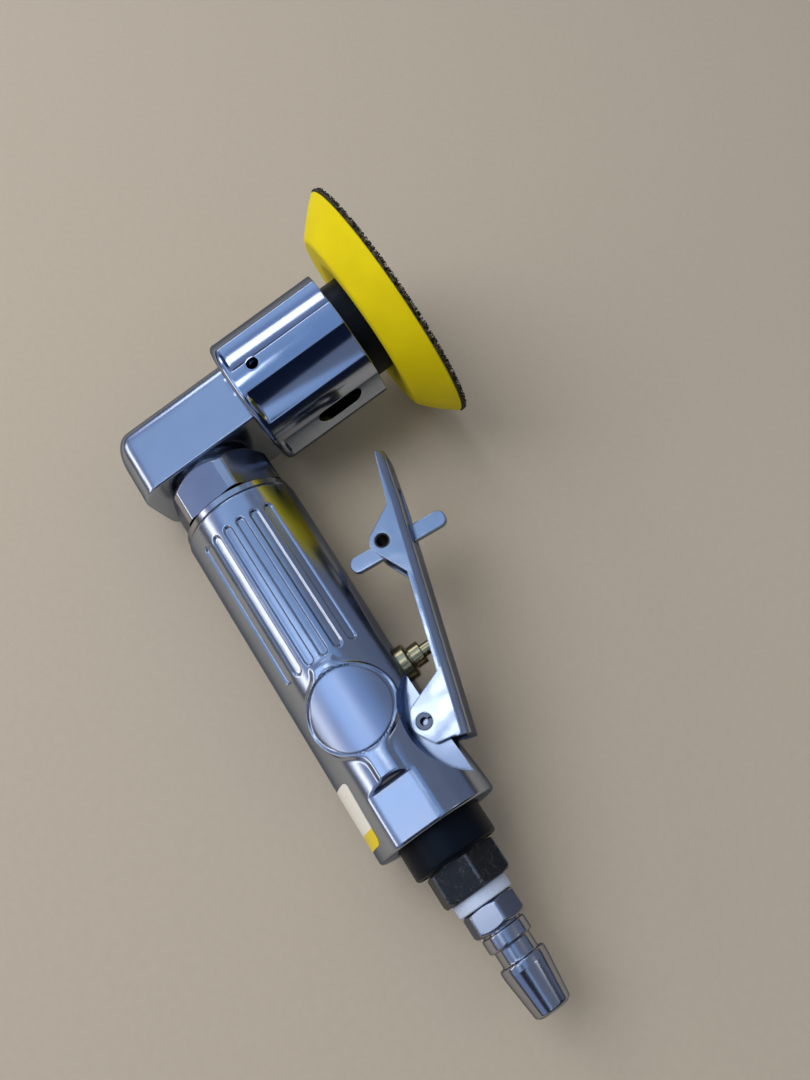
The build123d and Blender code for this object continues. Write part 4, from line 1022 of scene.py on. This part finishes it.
@dataclass
class AngleHead:
    """The gear head: rounded block, clamping nut and fluted spindle shroud."""

    nose: float = -10.4
    tail: float = 12.0
    back: float = -18.9
    front: float = 19.6
    half_height: float = 13.0
    back_round: float = 6.5
    nose_round: float = 6.0
    edge_round: float = 0.7
    corner_gap: float = 0.2
    plain_start: float = 8.0
    front_gap: float = 0.03
    neck_radius: float = 11.5
    neck_end: float = 35.4
    neck_bore: Pair = (7.0, 9.6)
    spigot_radius: float = 13.4
    spigot_end: float = 35.0
    spigot_bore: Pair = (8.6, 8.6)
    fit: float = 0.05
    nut_run: Pair = (13.2, 26.5)
    nut_flats: float = 28.0
    nut_corner: float = 10.0
    nut_lead: Pair = (4.3, 3.3)
    nut_rear: float = 0.9
    nut_turned: float = 15.6
    nut_washer: Pair = (0.5, 13.5)
    # Length and depth of the rounding at the nut's front
    nut_edge: Pair = (0.4, 0.3)
    # Blends of the nut's corners, its long front chamfer and its short rear one
    nut_blends: Triple = (0.07, 0.22, 0.3)
    shroud_radius: float = 19.4
    shroud_bore: float = 16.4
    shroud_run: Pair = (19.6, 54.5)
    shroud_wall: float = 4.2
    shroud_rear_round: float = 1.6
    shroud_rim_round: float = 0.2
    shroud_lip: float = 0.3
    shroud_margins: Pair = (1.7, 0.5)
    shroud_step: float = 0.36
    flutes: int = 7
    flute_depth: float = 1.3
    flute_cutter: float = 22.906
    flute_run_in: Pair = (21.5, 22.5)
    flute_blend: float = 0.09
    slot_y: float = 40.8
    slot_long: float = 14.3
    slot_wide: float = 7.0
    slot_z: float = 1.2
    hole_y: float = 28.0
    hole_turn: float = 84.0
    hole_radius: float = 1.75
    # The worn dish round each opening: its depth, and where it starts and ends
    slot_dish: Triple = (0.16, 0.45, -0.1)
    hole_dish: Triple = (0.12, 0.35, -0.1)
    cutter_reach: Pair = (8.0, 30.0)

    def build(self) -> None:
        """Builds the block, the nut and the shroud."""
        self.block()
        self.nut()
        self.shroud()

    def section(self, away: float) -> np.ndarray:
        """The block's outline at a depth from its back face.

        Args:
            away: The depth.

        Returns:
            Points in tool millimetres.
        """
        low = self.nose + edge_drop(away, self.nose_round)
        high = self.tail - edge_drop(away, self.edge_round)
        half = self.half_height - edge_drop(away, self.back_round)
        bend, edge = min(self.nose_round, half - self.corner_gap), self.edge_round
        arcs = []
        for index, (mid_x, mid_z, radius) in enumerate(
            (
                (high - edge, half - edge, edge),
                (low + bend, half - bend, bend),
                (low + bend, bend - half, bend),
                (high - edge, edge - half, edge),
            )
        ):
            turn = np.linspace(index, index + 1, 13) * QUARTER
            x, z = mid_x + radius * np.cos(turn), mid_z + radius * np.sin(turn)
            arcs.append(np.column_stack((x, z)))
        runs = []
        for arc, following in zip(arcs, arcs[1:] + arcs[:1]):
            runs += [arc, np.linspace(arc[-1], following[0], 10, endpoint=False)[1:]]
        x, z = np.vstack(runs).T
        return np.column_stack((x, 0 * x + self.back + away, z))

    def block(self) -> None:
        """Builds the block through sections along the spindle, with its neck and spigot."""
        plain = np.linspace(self.plain_start, self.front - self.back - self.front_gap, 14)
        depth = np.concatenate((self.back_round * quarter_steps(22), plain))
        rows = close_ends(np.array([self.section(away) for away in depth]))
        rows = np.insert(rows, 1, (rows[0] + rows[1]) / 2, axis=0)
        block = make_piece("head_block", rows, sharp=60.0)
        turn = full_turn(128)
        neck = (self.tail, self.neck_end, self.neck_radius, self.neck_bore)
        spigot = (self.front, self.spigot_end, self.spigot_radius, self.spigot_bore)
        for (start, end, radius, (near, far)), axis in (
            (neck, LongAxis.HANDLE),
            (spigot, LongAxis.SPINDLE),
        ):
            root = start - 1
            path = rounded_loop(((root, near), (root, radius), (end, radius), (end, far)), 4.0)
            tube = shell("tube", path[:, 0], path[:, 1:] + 0 * turn, turn, axis, sharp=40.0)
            self.join(block, tube)
        place_piece(block, BUFFED, Body.CASING, "polished_aluminium", "angle_head")

    @staticmethod
    def join(base: Object, extra: Object) -> None:
        """Adds the mesh of one object to another.

        Args:
            base: The object that is kept.
            extra: The object that is added to it and removed.
        """
        work = bmesh.new()
        work.from_mesh(base.data)
        work.from_mesh(extra.data)
        work.to_mesh(base.data)
        work.free()
        bpy.data.objects.remove(extra)

    def nut(self) -> None:
        """Builds the clamping nut with its turned chamfers and soft corners."""
        start, end = self.nut_run
        face, washer = self.nut_washer
        lead, rise = self.nut_lead
        corners, front, rear = self.nut_blends
        turn = full_turn(288)
        station = np.append(np.linspace(start, end - face, 72), (end - face, end))
        x = station[:, None] + 0 * turn
        tip = hexagon_tip(self.nut_flats)
        flats = hexagon(turn, self.nut_flats, self.nut_corner) + 0 * x
        radius = soft_min(flats, np.full(x.shape, self.nut_turned), corners)
        radius = soft_min(radius, tip + ((x - start) / lead - 1) * rise, front)
        radius = soft_min(radius, tip - self.nut_rear + (end - x), rear)
        length, depth = self.nut_edge
        radius -= depth / length * edge_drop(x - start, length)
        radius[-2:] = washer
        inner = self.neck_radius + self.fit
        bore = ((end, inner), (start, inner))
        nut = shell("jam_nut", station, radius, turn, LongAxis.HANDLE, bore)
        place_piece(nut, NICKEL, Body.CASING, "nickel_plate", "clamp_nut")

    def fluted(self, y: np.ndarray, theta: np.ndarray) -> np.ndarray:
        """Radius of the shroud's outside, without its openings.

        Args:
            y: Stations along the spindle.
            theta: Angles round it.

        Returns:
            The radii.
        """
        start, end = self.shroud_run
        pitch = TURN / self.flutes
        off = (theta - QUARTER + pitch / 2) % pitch - pitch / 2
        centre = self.shroud_radius - self.flute_depth + self.flute_cutter
        inside = np.clip(self.flute_cutter**2 - (centre * np.sin(off)) ** 2, 0, None)
        flute = centre * np.cos(off) - np.sqrt(inside)
        flute = np.where(inside > 0, flute, FAR)
        radius = np.full(y.shape, self.shroud_radius)
        cut = soft_min(radius, flute, self.flute_blend) - radius
        radius += ease(y, *self.flute_run_in) * cut
        radius -= edge_drop(y - start, self.shroud_rear_round)
        return radius - edge_drop(end - y, self.shroud_rim_round)

    def shroud(self) -> None:
        """Builds the fluted shroud, then cuts its wrench slot and spanner hole."""
        start, end = self.shroud_run
        turn, quarter = full_turn(560), quarter_steps(8)
        rear = start + self.shroud_rear_round * quarter
        rim = end - self.shroud_rim_round * quarter[::-2]
        after_rear, before_rim = self.shroud_margins
        plain = np.arange(start + after_rear, end - before_rim, self.shroud_step)
        station = np.concatenate((rear, plain, rim))
        y, theta = np.meshgrid(station, turn, indexing="ij")
        radius = self.fluted(y, theta)
        x, z = radius * np.sin(theta), radius * np.cos(theta)
        lean = math.radians(self.hole_turn)
        half_run, half_wide = (self.slot_long - self.slot_wide) / 2, self.slot_wide / 2
        beyond = np.maximum(0, np.abs(y - self.slot_y) - half_run)
        from_slot = np.hypot(beyond, z - self.slot_z) - half_wide
        aside = x * math.sin(lean) - z * math.cos(lean)
        from_hole = np.hypot(y - self.hole_y, aside) - self.hole_radius
        for away, (depth, *flank), side in (
            (from_slot, self.slot_dish, x),
            (from_hole, self.hole_dish, z),
        ):
            radius -= np.where(side > 0, depth * ease(away, *flank), 0)
        wide, narrow = self.shroud_bore, self.spigot_radius + self.fit
        wall = start + self.shroud_wall
        bore = (
            (end, wide + self.shroud_lip), (end - self.shroud_lip, wide), (wall, wide),
            (wall, narrow), (start, narrow),
        )
        shroud = shell("spindle_shroud", station, radius, turn, LongAxis.SPINDLE, bore)
        arc = np.linspace(-QUARTER, QUARTER, 25)
        tip = np.column_stack((half_run + half_wide * np.cos(arc), half_wide * np.sin(arc)))
        slot = np.vstack((tip, -tip)) + (self.slot_y, self.slot_z)
        cut_prism(shroud, [np.insert(slot, 0, reach, axis=1) for reach in self.cutter_reach])
        out = np.array((math.cos(lean), 0.0, math.sin(lean)))
        span = np.array((math.sin(lean), 0.0, -math.cos(lean)))
        ring = full_turn(48)
        hole = np.outer(np.cos(ring), span) + np.outer(np.sin(ring), (0, 1, 0))
        hole = hole * self.hole_radius + (0, self.hole_y, 0)
        cut_prism(shroud, [hole + out * reach for reach in self.cutter_reach])
        place_piece(shroud, FLUTED, Body.CASING, "polished_aluminium", "head_shroud")


@dataclass
class PadAssembly:
    """The soft pad: moulded foam body and the hook sheet on its face."""

    back: float = 59.1
    hook_back: float = 68.7
    front: float = 70.2
    radius: float = 37.0
    back_radius: float = 27.6
    collar_radius: float = 14.7
    collar_end: float = 60.7
    # The hollow that the stiff parts are moulded into: stud flange, plate and hub
    stud_depth: float = 65.82
    stud_radius: float = 8.02
    plate_run: Pair = (62.28, 64.32)
    plate_radius: float = 24.02
    hub_radius: float = 8.82
    rim_gap: float = 0.04
    back_dish: float = 0.25
    back_margin: float = 5.0
    # Roundings of the back's dish, of its edge and of the rim at the hook sheet
    rounds: Triple = (3.0, 2.6, 0.3)
    swell: float = 0.45
    # Unevenness of the flank: height, waves round the pad, phase, twist for each millimetre
    ripples: tuple[tuple[float, float, float, float], ...] = (
        (0.12, 3, 0.7, 0.0),
        (0.08, 7, 0.0, 0.5),
        (0.05, 13, 0.0, -0.9),
    )
    hook_spacing: float = 0.5
    hook_wire: float = 0.11
    hook_rim: float = 33.8
    sheet: float = 0.75
    sheet_rounds: Pair = (0.15, 0.2)
    seed: int = 11

    def build(self) -> None:
        """Builds the foam and the hook sheet."""
        self.foam()
        self.hooks()

    def foam(self) -> None:
        """Builds the foam body: soft rims, a faintly swollen flank and an uneven moulded skin."""
        near, far = self.plate_run
        dish_round, edge_round, rim_round = self.rounds
        path = rounded_loop(
            (
                (self.stud_depth, 0.0),
                (self.stud_depth, self.stud_radius),
                (far, self.stud_radius),
                (far, self.plate_radius),
                (near, self.plate_radius),
                (near, self.hub_radius),
                (self.collar_end, self.hub_radius),
                (self.collar_end, self.collar_radius),
                (self.back + self.back_dish, self.collar_radius + self.back_margin, dish_round),
                (self.back, self.back_radius, edge_round),
                (self.hook_back, self.radius - self.rim_gap, rim_round),
                (self.hook_back, 0.0),
            ),
            0.7,
            8,
            closed=False,
        )
        turn = full_turn(224)
        y, theta = np.meshgrid(path[:, 0], turn, indexing="ij")
        radius = path[:, 1:] + 0 * turn
        flank = ease(radius - self.back_radius, -1.0, 1.5) * np.clip((self.hook_back - y) / 2, 0, 1)
        depth = np.clip((y - self.back) / (self.hook_back - self.back), 0, 1)
        lift = self.swell * np.sin(depth * math.pi)
        for height, waves, phase, twist in self.ripples:
            lift += height * np.sin(waves * theta + phase + twist * y)
        radius = radius + flank * lift
        foam = make_piece("foam_body", ring_points(y, radius, theta, LongAxis.SPINDLE), sharp=70.0)
        place_piece(foam, FOAM, Body.PAD, "yellow_foam", "foam_pad")

    def hooks(self) -> None:
        """Builds the hook sheet: a backing disc with hooks spread over its face."""
        back, face = self.hook_back, self.hook_back + self.sheet
        behind, ahead = self.sheet_rounds
        outline = ((back, 0), (back, self.radius, behind), (face, self.radius, ahead), (face, 0))
        path = rounded_loop(outline, 6.0, 3, closed=False)
        grid = ring_points(path[:, :1], path[:, 1:], full_turn(200), LongAxis.SPINDLE)
        sheet = make_piece("hook_sheet", grid)
        tree = self.hook_tree()
        change = sheet.modifiers.new("hooks", "NODES")
        change.node_group = tree
        values = {
            "Spacing": self.hook_spacing * MM,
            "Height": (self.front - self.hook_back - self.sheet) * MM,
            "Wire": self.hook_wire * MM,
            "Facing": TOOL.direction((0, 1, 0)),
            "Centre": Vector(TOOL.to_row(np.array((0.0, self.front, 0.0)))),
            "Rim": self.hook_rim * MM,
            "Seed": self.seed,
        }
        for item in tree.interface.items_tree:
            if item.item_type == "SOCKET" and item.in_out == "INPUT" and item.name in values:
                change[item.identifier] = values[item.name]
        plain_mesh(sheet)
        place_piece(sheet, HOOKS, Body.PAD, "hook_fabric", "hook_face")

    @staticmethod
    def hook_tree() -> Tree:
        """The node tree that spreads bent hooks over the faces that look one way.

        Returns:
            The tree, with inputs for spacing, height, wire, rim radius, facing direction, centre
            and seed.
        """
        tree = bpy.data.node_groups.new("hook_field", "GeometryNodeTree")
        for name, kind in (
            ("Geometry", "Geometry"),
            ("Spacing", "Float"),
            ("Height", "Float"),
            ("Wire", "Float"),
            ("Rim", "Float"),
            ("Facing", "Vector"),
            ("Centre", "Vector"),
            ("Seed", "Int"),
        ):
            tree.interface.new_socket(name, in_out="INPUT", socket_type=f"NodeSocket{kind}")
        tree.interface.new_socket("Geometry", in_out="OUTPUT", socket_type="NodeSocketGeometry")
        given = add_node(tree, "NodeGroupInput").outputs
        looks = {0: add_node(tree, "GeometryNodeInputNormal"), 1: given["Facing"]}
        facing = add_node(tree, "ShaderNodeVectorMath", looks, operation="DOT_PRODUCT")
        test = {0: facing.outputs["Value"], 1: 0.9}
        front = add_node(tree, "FunctionNodeCompare", test, operation="GREATER_THAN")
        ends = {0: add_node(tree, "GeometryNodeInputPosition"), 1: given["Centre"]}
        away = add_node(tree, "ShaderNodeVectorMath", ends, operation="DISTANCE")
        test = {0: away.outputs["Value"], 1: given["Rim"]}
        rim = add_node(tree, "ShaderNodeMath", test, operation="GREATER_THAN")
        # The rim is what is seen side on, so the hooks stand closest there
        crowd = add_node(tree, "ShaderNodeMapRange", {"Value": rim, "To Min": 0.3, "To Max": 1.0})
        spread = {
            "Mesh": given["Geometry"],
            "Selection": front,
            "Distance Min": given["Spacing"],
            "Density Max": 8.0e6,
            "Density Factor": crowd,
            "Seed": given["Seed"],
        }
        spots = add_node(
            tree, "GeometryNodeDistributePointsOnFaces", spread, distribute_method="POISSON"
        )
        top = add_node(tree, "ShaderNodeCombineXYZ", {"Z": given["Height"]})
        peak = add_node(tree, "ShaderNodeVectorMath", {0: top, "Scale": 1.75}, operation="SCALE")
        ends = {}
        for direction, share in (("X", 0.75), ("Z", 0.45)):
            part = {0: given["Height"], 1: share}
            ends[direction] = add_node(tree, "ShaderNodeMath", part, operation="MULTIPLY")
        tip = add_node(tree, "ShaderNodeCombineXYZ", ends)
        # The wire bows out past the hook's height and comes down again to its tip
        bow = {"Resolution": 3, "Start": (0, 0, 0), "Middle": peak, "End": tip}
        line = add_node(tree, "GeometryNodeCurveQuadraticBezier", bow)
        ring = {"Resolution": 3, "Radius": given["Wire"]}
        wire = add_node(tree, "GeometryNodeCurvePrimitiveCircle", ring)
        skin = {"Curve": line, "Profile Curve": wire, "Fill Caps": True}
        hook = add_node(tree, "GeometryNodeCurveToMesh", skin)
        draw = {"Min": 0.0, "Max": TURN, "Seed": given["Seed"]}
        spin = add_node(tree, "FunctionNodeRandomValue", draw, data_type="FLOAT").outputs["Value"]
        about = add_node(tree, "ShaderNodeCombineXYZ", {"Z": spin})
        turn = {0: spots.outputs["Rotation"], 1: about}
        stood = add_node(tree, "FunctionNodeRotateRotation", turn, rotation_space="LOCAL")
        stand_on = {"Points": spots.outputs["Points"], "Instance": hook, "Rotation": stood}
        crop = add_node(tree, "GeometryNodeInstanceOnPoints", stand_on)
        real = add_node(tree, "GeometryNodeRealizeInstances", {0: crop})
        both = add_node(tree, "GeometryNodeJoinGeometry", {0: real})
        tree.links.new(given["Geometry"], both.inputs[0])
        dress = {"Geometry": both, "Material": HOOKS.material()}
        add_node(tree, "NodeGroupOutput", {0: add_node(tree, "GeometryNodeSetMaterial", dress)})
        return tree


@dataclass(frozen=True)
class HexFitting:
    """A turned fitting that has a hexagon over part of its length."""

    name: str
    node: str
    slot: str
    finish: Finish
    flats: float
    corner: float
    run: Pair
    around: int = 180
    step: float = 0.35
    blend: float = 0.35
    # Least radius of the hexagon's part of the outline, over the radius of its flats
    hex_share: float = 0.93
    # Wear: width along the turned chamfers, and where it sets in towards the corners
    chamfer_wear: float = 0.5
    corner_wear: Pair = (1.09, 1.15)

    def build(self, outline: Outline) -> Object:
        """Builds the fitting, with an attribute that marks the edges a spanner wears.

        Args:
            outline: The turned outline, each corner as (station, radius, rounding).

        Returns:
            The fitting.
        """
        path = rounded_loop(outline, self.step)
        turn = full_turn(self.around)
        x, phi = np.meshgrid(path[:, 0], turn, indexing="ij")
        turned = path[:, 1:] + 0 * turn
        start, end = self.run
        half = self.flats / 2
        within = (x >= start - MERGE) & (x <= end + MERGE)
        on_hex = within & (turned > half * self.hex_share)
        sides = hexagon(phi, self.flats, self.corner)
        radius = np.where(on_hex, soft_min(turned, sides, self.blend), turned)
        worn = ease(np.abs(turned - sides), self.chamfer_wear, 0.0)
        worn += ease(sides / half, *self.corner_wear)
        piece = shell(self.name, path[:, 0], radius, turn, LongAxis.HANDLE, sharp=55.0)
        edge = np.where(on_hex, np.clip(worn, 0, 1), 0).astype(np.float32)
        piece.data.attributes.new("edge", "FLOAT", "POINT").data.foreach_set("value", edge.ravel())
        place_piece(piece, self.finish, Body.CASING, self.slot, self.node)
        return piece


@dataclass
class TailFittings:
    """The inlet end: blackened hexagon bushing and plated coupler plug."""

    bushing: HexFitting = HexFitting(
        "bushing_body", "inlet_bushing", "black_oxide", BLACKENED, 17.0, 10.0, (135.0, 143.2)
    )
    plug: HexFitting = HexFitting(
        "plug_body", "coupler_plug", "nickel_plate", NICKEL, 12.6, 6.5, (146.6, 152.4)
    )
    collar_run: Pair = (143.1, 146.5)

    def build(self) -> None:
        """Builds the bushing and the plug, and gives the plug's collar its pale wash, partly its
        own colour and partly a painted reflection of the sky.
        """
        start, end = self.bushing.run
        tip = hexagon_tip(self.bushing.flats)
        self.bushing.build(
            (
                # Shank in the handle
                (103.0, 4.2), (103.0, 6.6), (117.3, 6.6), (117.3, 8.5), (start, 8.5),
                # Hexagon
                (start, tip - 0.7, 0.2), (start + 0.4, tip + 0.3), (end - 0.9, tip + 0.3),
                (end, tip - 1.15, 0.25),
                # Bore
                (end, 5.45), (132.56, 5.45), (132.56, 4.2),
            )
        )
        start, end = self.plug.run
        tip = hexagon_tip(self.plug.flats)
        plug = self.plug.build(
            (
                # Shank and collar
                (133.2, 2.8), (133.2, 5.4), (143.2, 5.4), (143.2, 7.3, 0.3), (146.45, 7.3, 0.4),
                (146.45, 6.2),
                # Hexagon
                (start, 6.2), (start, 6.25, 0.1), (start + 0.7, tip + 0.1), (end - 0.7, tip + 0.1),
                (end, 6.2, 0.15),
                # Rib between two necks
                (end, 5.2, 0.1), (153.1, 5.2, 0.1), (153.1, 5.8, 0.4), (156.6, 5.8, 0.7),
                (156.6, 4.8, 0.3), (160.5, 4.8, 0.4),
                # Nose and bore
                (160.5, 6.0, 0.5), (162.5, 6.0, 2.0), (172.6, 4.72, 0.6), (173.1, 3.9, 0.3),
                (173.1, 2.8),
            )
        )
        plug.data.materials.append(ZINC.material())
        first, last = TOOL.to_row(np.array([(x, 0, 0) for x in self.collar_run]))[:, 0]
        for face in plug.data.polygons:
            if first <= face.center.x <= last:
                face.material_index = 1


@dataclass
class CadDressing:
    """The CAD nodes that stay: each gets the finish of its slot, or its own."""

    finishes: dict[str, Finish] = field(default_factory=lambda: dict(SLOT_FINISH))
    special: dict[str, Finish] = field(
        # The latch pin's black oxide is painted shade: its dark finish stands in for the shade
        # inside the pin's hollow end
        default_factory=lambda: {"latch_pin": BLACKENED, "lever_pin": SPRING}
    )

    def build(self) -> None:
        """Gives every shown CAD node its finish."""
        for name, node in sorted(frame["nodes"].items()):
            if node.hide_render:
                continue
            slot = node.data.materials[0].name.split(".")[0]
            finish = self.special.get(name, self.finishes[slot])
            node.data.materials[0] = finish.material()
            LOG.info("%s keeps its shape, finish %s", name, finish.name)


# Scene


@dataclass(frozen=True)
class Lamp:
    """A flat studio lamp that faces the tool."""

    name: str
    place: Triple
    size: Pair
    level: float
    tint: str
    shows: bool = True

    def hang(self) -> None:
        """Builds the lamp, unseen by the camera."""
        lamp = bpy.data.lights.new(self.name, "AREA")
        lamp.shape = "RECTANGLE"
        lamp.size, lamp.size_y = self.size
        lamp.color = linear(self.tint)[:3]
        lamp.energy = self.level * math.pi * self.size[0] * self.size[1]
        away = Vector(self.place)
        facing = (-away).to_track_quat("-Z", "Y").to_matrix().to_4x4()
        holder = stand(self.name, lamp)
        holder.matrix_world = Matrix.Translation(away) @ facing
        holder.visible_camera = False
        holder.visible_glossy = self.shows


@dataclass(frozen=True)
class Cloth:
    """A piece of studio cloth hung on part of a dome, out of the camera's sight."""

    name: str
    around: Pair
    rise: Pair
    light: str
    dark: str
    radius: float = 1.1
    columns: int = 49
    rows: int = 13

    def hang(self) -> None:
        """Builds the cloth: it gives polished metal something other than the sky to show."""
        turn, lift = np.meshgrid(
            np.radians(np.linspace(*self.around, self.columns)),
            np.radians(np.linspace(*self.rise, self.rows)),
            indexing="ij",
        )
        level = self.radius * np.cos(lift)
        places = (level * np.cos(turn), level * np.sin(turn), self.radius * np.sin(lift))
        points = np.stack(places, -1)
        col, row = np.meshgrid(np.arange(self.columns - 1), np.arange(self.rows - 1), indexing="ij")
        low = (col * self.rows + row).ravel()
        faces = np.column_stack((low, low + 1, low + self.rows + 1, low + self.rows))
        mesh = bpy.data.meshes.new(self.name)
        mesh.from_pydata(points.reshape(-1, 3).tolist(), [], faces.tolist())
        weave = FibreFinish(self.name, self.light, self.dark, 0.9, 0.95, fibre_mm=3.0)
        mesh.materials.append(weave.material())
        cloth = stand(self.name, mesh)
        cloth.visible_camera = False
        cloth.visible_diffuse = False
        cloth.visible_shadow = False


@dataclass
class Studio:
    """Pale floor, soft lamps, cloths that draw bands in the metal, and the camera."""

    lens_mm: float = 30.204
    sensor_mm: float = 36.0
    near_clip: float = 0.01
    eye: Triple = (142.1, 37.9, 226.7)
    right: Triple = (0.5449, 0.812, -0.2092)
    down: Triple = (0.7686, -0.5834, -0.2626)
    floor_half: float = 3.0
    ambient: str = "#A3A09C"
    lamps: tuple[Lamp, ...] = (
        Lamp("key_lamp", (-0.35, -0.87, 0.35), (0.9, 0.15), 2.7, "#FFF8F0"),
        Lamp("top_lamp", (-0.178, -0.369, 0.912), (0.14, 0.13), 3.1, "#F4F8FF"),
        Lamp("sky_lamp", (-0.21, -0.59, 0.78), (0.36, 0.26), 0.88, "#B8D4FF"),
        Lamp("rear_lamp", (0.32, 0.557, 0.766), (0.1, 0.2), 2.4, "#FFFFFF"),
        Lamp("side_lamp", (-0.88, -0.12, 0.45), (0.36, 0.2), 2.7, "#EEF4FF"),
        Lamp("tail_lamp", (0.05, -0.63, 0.775), (0.12, 0.13), 1.3, "#FFF6F4"),
        Lamp("fill_lamp", (-0.42, -0.42, 0.8), (0.8, 0.8), 3.0, "#FFF8EE", shows=False),
    )
    cloths: tuple[Cloth, ...] = (
        Cloth("low_cloth", (0.0, 360.0), (0.2, 9.0), "#1A2438", "#141B2B"),
        Cloth("east_cloth", (-40.0, 62.0), (9.0, 44.0), "#0A2452", "#081B40"),
        Cloth("north_cloth", (62.0, 130.0), (9.0, 44.0), "#98ACD6", "#8C9FCA"),
        Cloth("top_cloth", (-24.0, 150.0), (44.0, 84.0), "#A6BAE4", "#9AAED9"),
        Cloth("front_cloth", (-72.0, -41.0), (35.0, 66.0), "#2B2126", "#1F171C"),
    )
    # The sky that the metal reflects, from the horizon up: height, colour
    sky: tuple[tuple[float, str], ...] = (
        (0.0, "#8795B4"), (0.6, "#7F94C4"), (0.73, "#B4D3FE"), (0.84, "#A9C6F0"), (0.96, "#8AABDC"),
    )

    def build(self) -> None:
        """Builds floor, sky, lamps, cloths and camera."""
        self.floor()
        self.world()
        for fixture in (*self.lamps, *self.cloths):
            fixture.hang()
        self.camera()

    def floor(self) -> None:
        """Builds the plain pale floor."""
        half = self.floor_half
        corners = [(-half, -half, 0), (half, -half, 0), (half, half, 0), (-half, half, 0)]
        mesh = bpy.data.meshes.new("floor")
        mesh.from_pydata(corners, [], [(0, 1, 2, 3)])
        mesh.materials.append(BOARD.material())
        stand("floor", mesh)

    def world(self) -> None:
        """Builds the surroundings: even light for the floor, a sky for what the metal reflects."""
        world = bpy.data.worlds.new("studio")
        bpy.context.scene.world = world
        world.use_nodes = True
        tree = world.node_tree
        tree.nodes.clear()
        look = add_node(tree, "ShaderNodeTexCoord").outputs["Generated"]
        height = add_node(tree, "ShaderNodeSeparateXYZ", {0: look}).outputs["Z"]
        ramp = add_node(tree, "ShaderNodeValToRGB", {0: height})
        stops = ramp.color_ramp.elements
        while len(stops) < len(self.sky):
            stops.new(1.0)
        for stop, (place, code) in zip(stops, self.sky):
            stop.position, stop.color = place, linear(code)
        polish = add_node(tree, "ShaderNodeLightPath").outputs["Is Glossy Ray"]
        mix = {0: polish, 6: linear(self.ambient), 7: ramp}
        seen = add_node(tree, "ShaderNodeMix", mix, data_type="RGBA").outputs[2]
        back = add_node(tree, "ShaderNodeBackground", {"Color": seen, "Strength": 1.0})
        add_node(tree, "ShaderNodeOutputWorld", {"Surface": back})

    def camera(self) -> None:
        """Places the camera where the photograph was taken from."""
        lens = bpy.data.cameras.new("camera")
        lens.lens, lens.sensor_width = self.lens_mm, self.sensor_mm
        lens.clip_start = self.near_clip
        camera = stand("camera", lens)
        across, up = TOOL.direction(self.right), -TOOL.direction(self.down)
        across.normalize()
        behind = across.cross(up).normalized()
        turned = Matrix((across, behind.cross(across), behind)).transposed().to_4x4()
        place = Vector(TOOL.to_row(np.array(self.eye)))
        camera.matrix_world = Matrix.Translation(place) @ turned
        bpy.context.scene.camera = camera


def main() -> None:
    """Builds the looks in order."""
    logging.basicConfig(level=logging.INFO, format="%(message)s")
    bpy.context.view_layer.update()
    bpy.context.scene.view_settings.view_transform = "Standard"
    for kind in (HandleCasting, AngleHead, PadAssembly, TailFittings, CadDressing, Studio):
        kind().build()


if __name__ == "__main__":
    main()
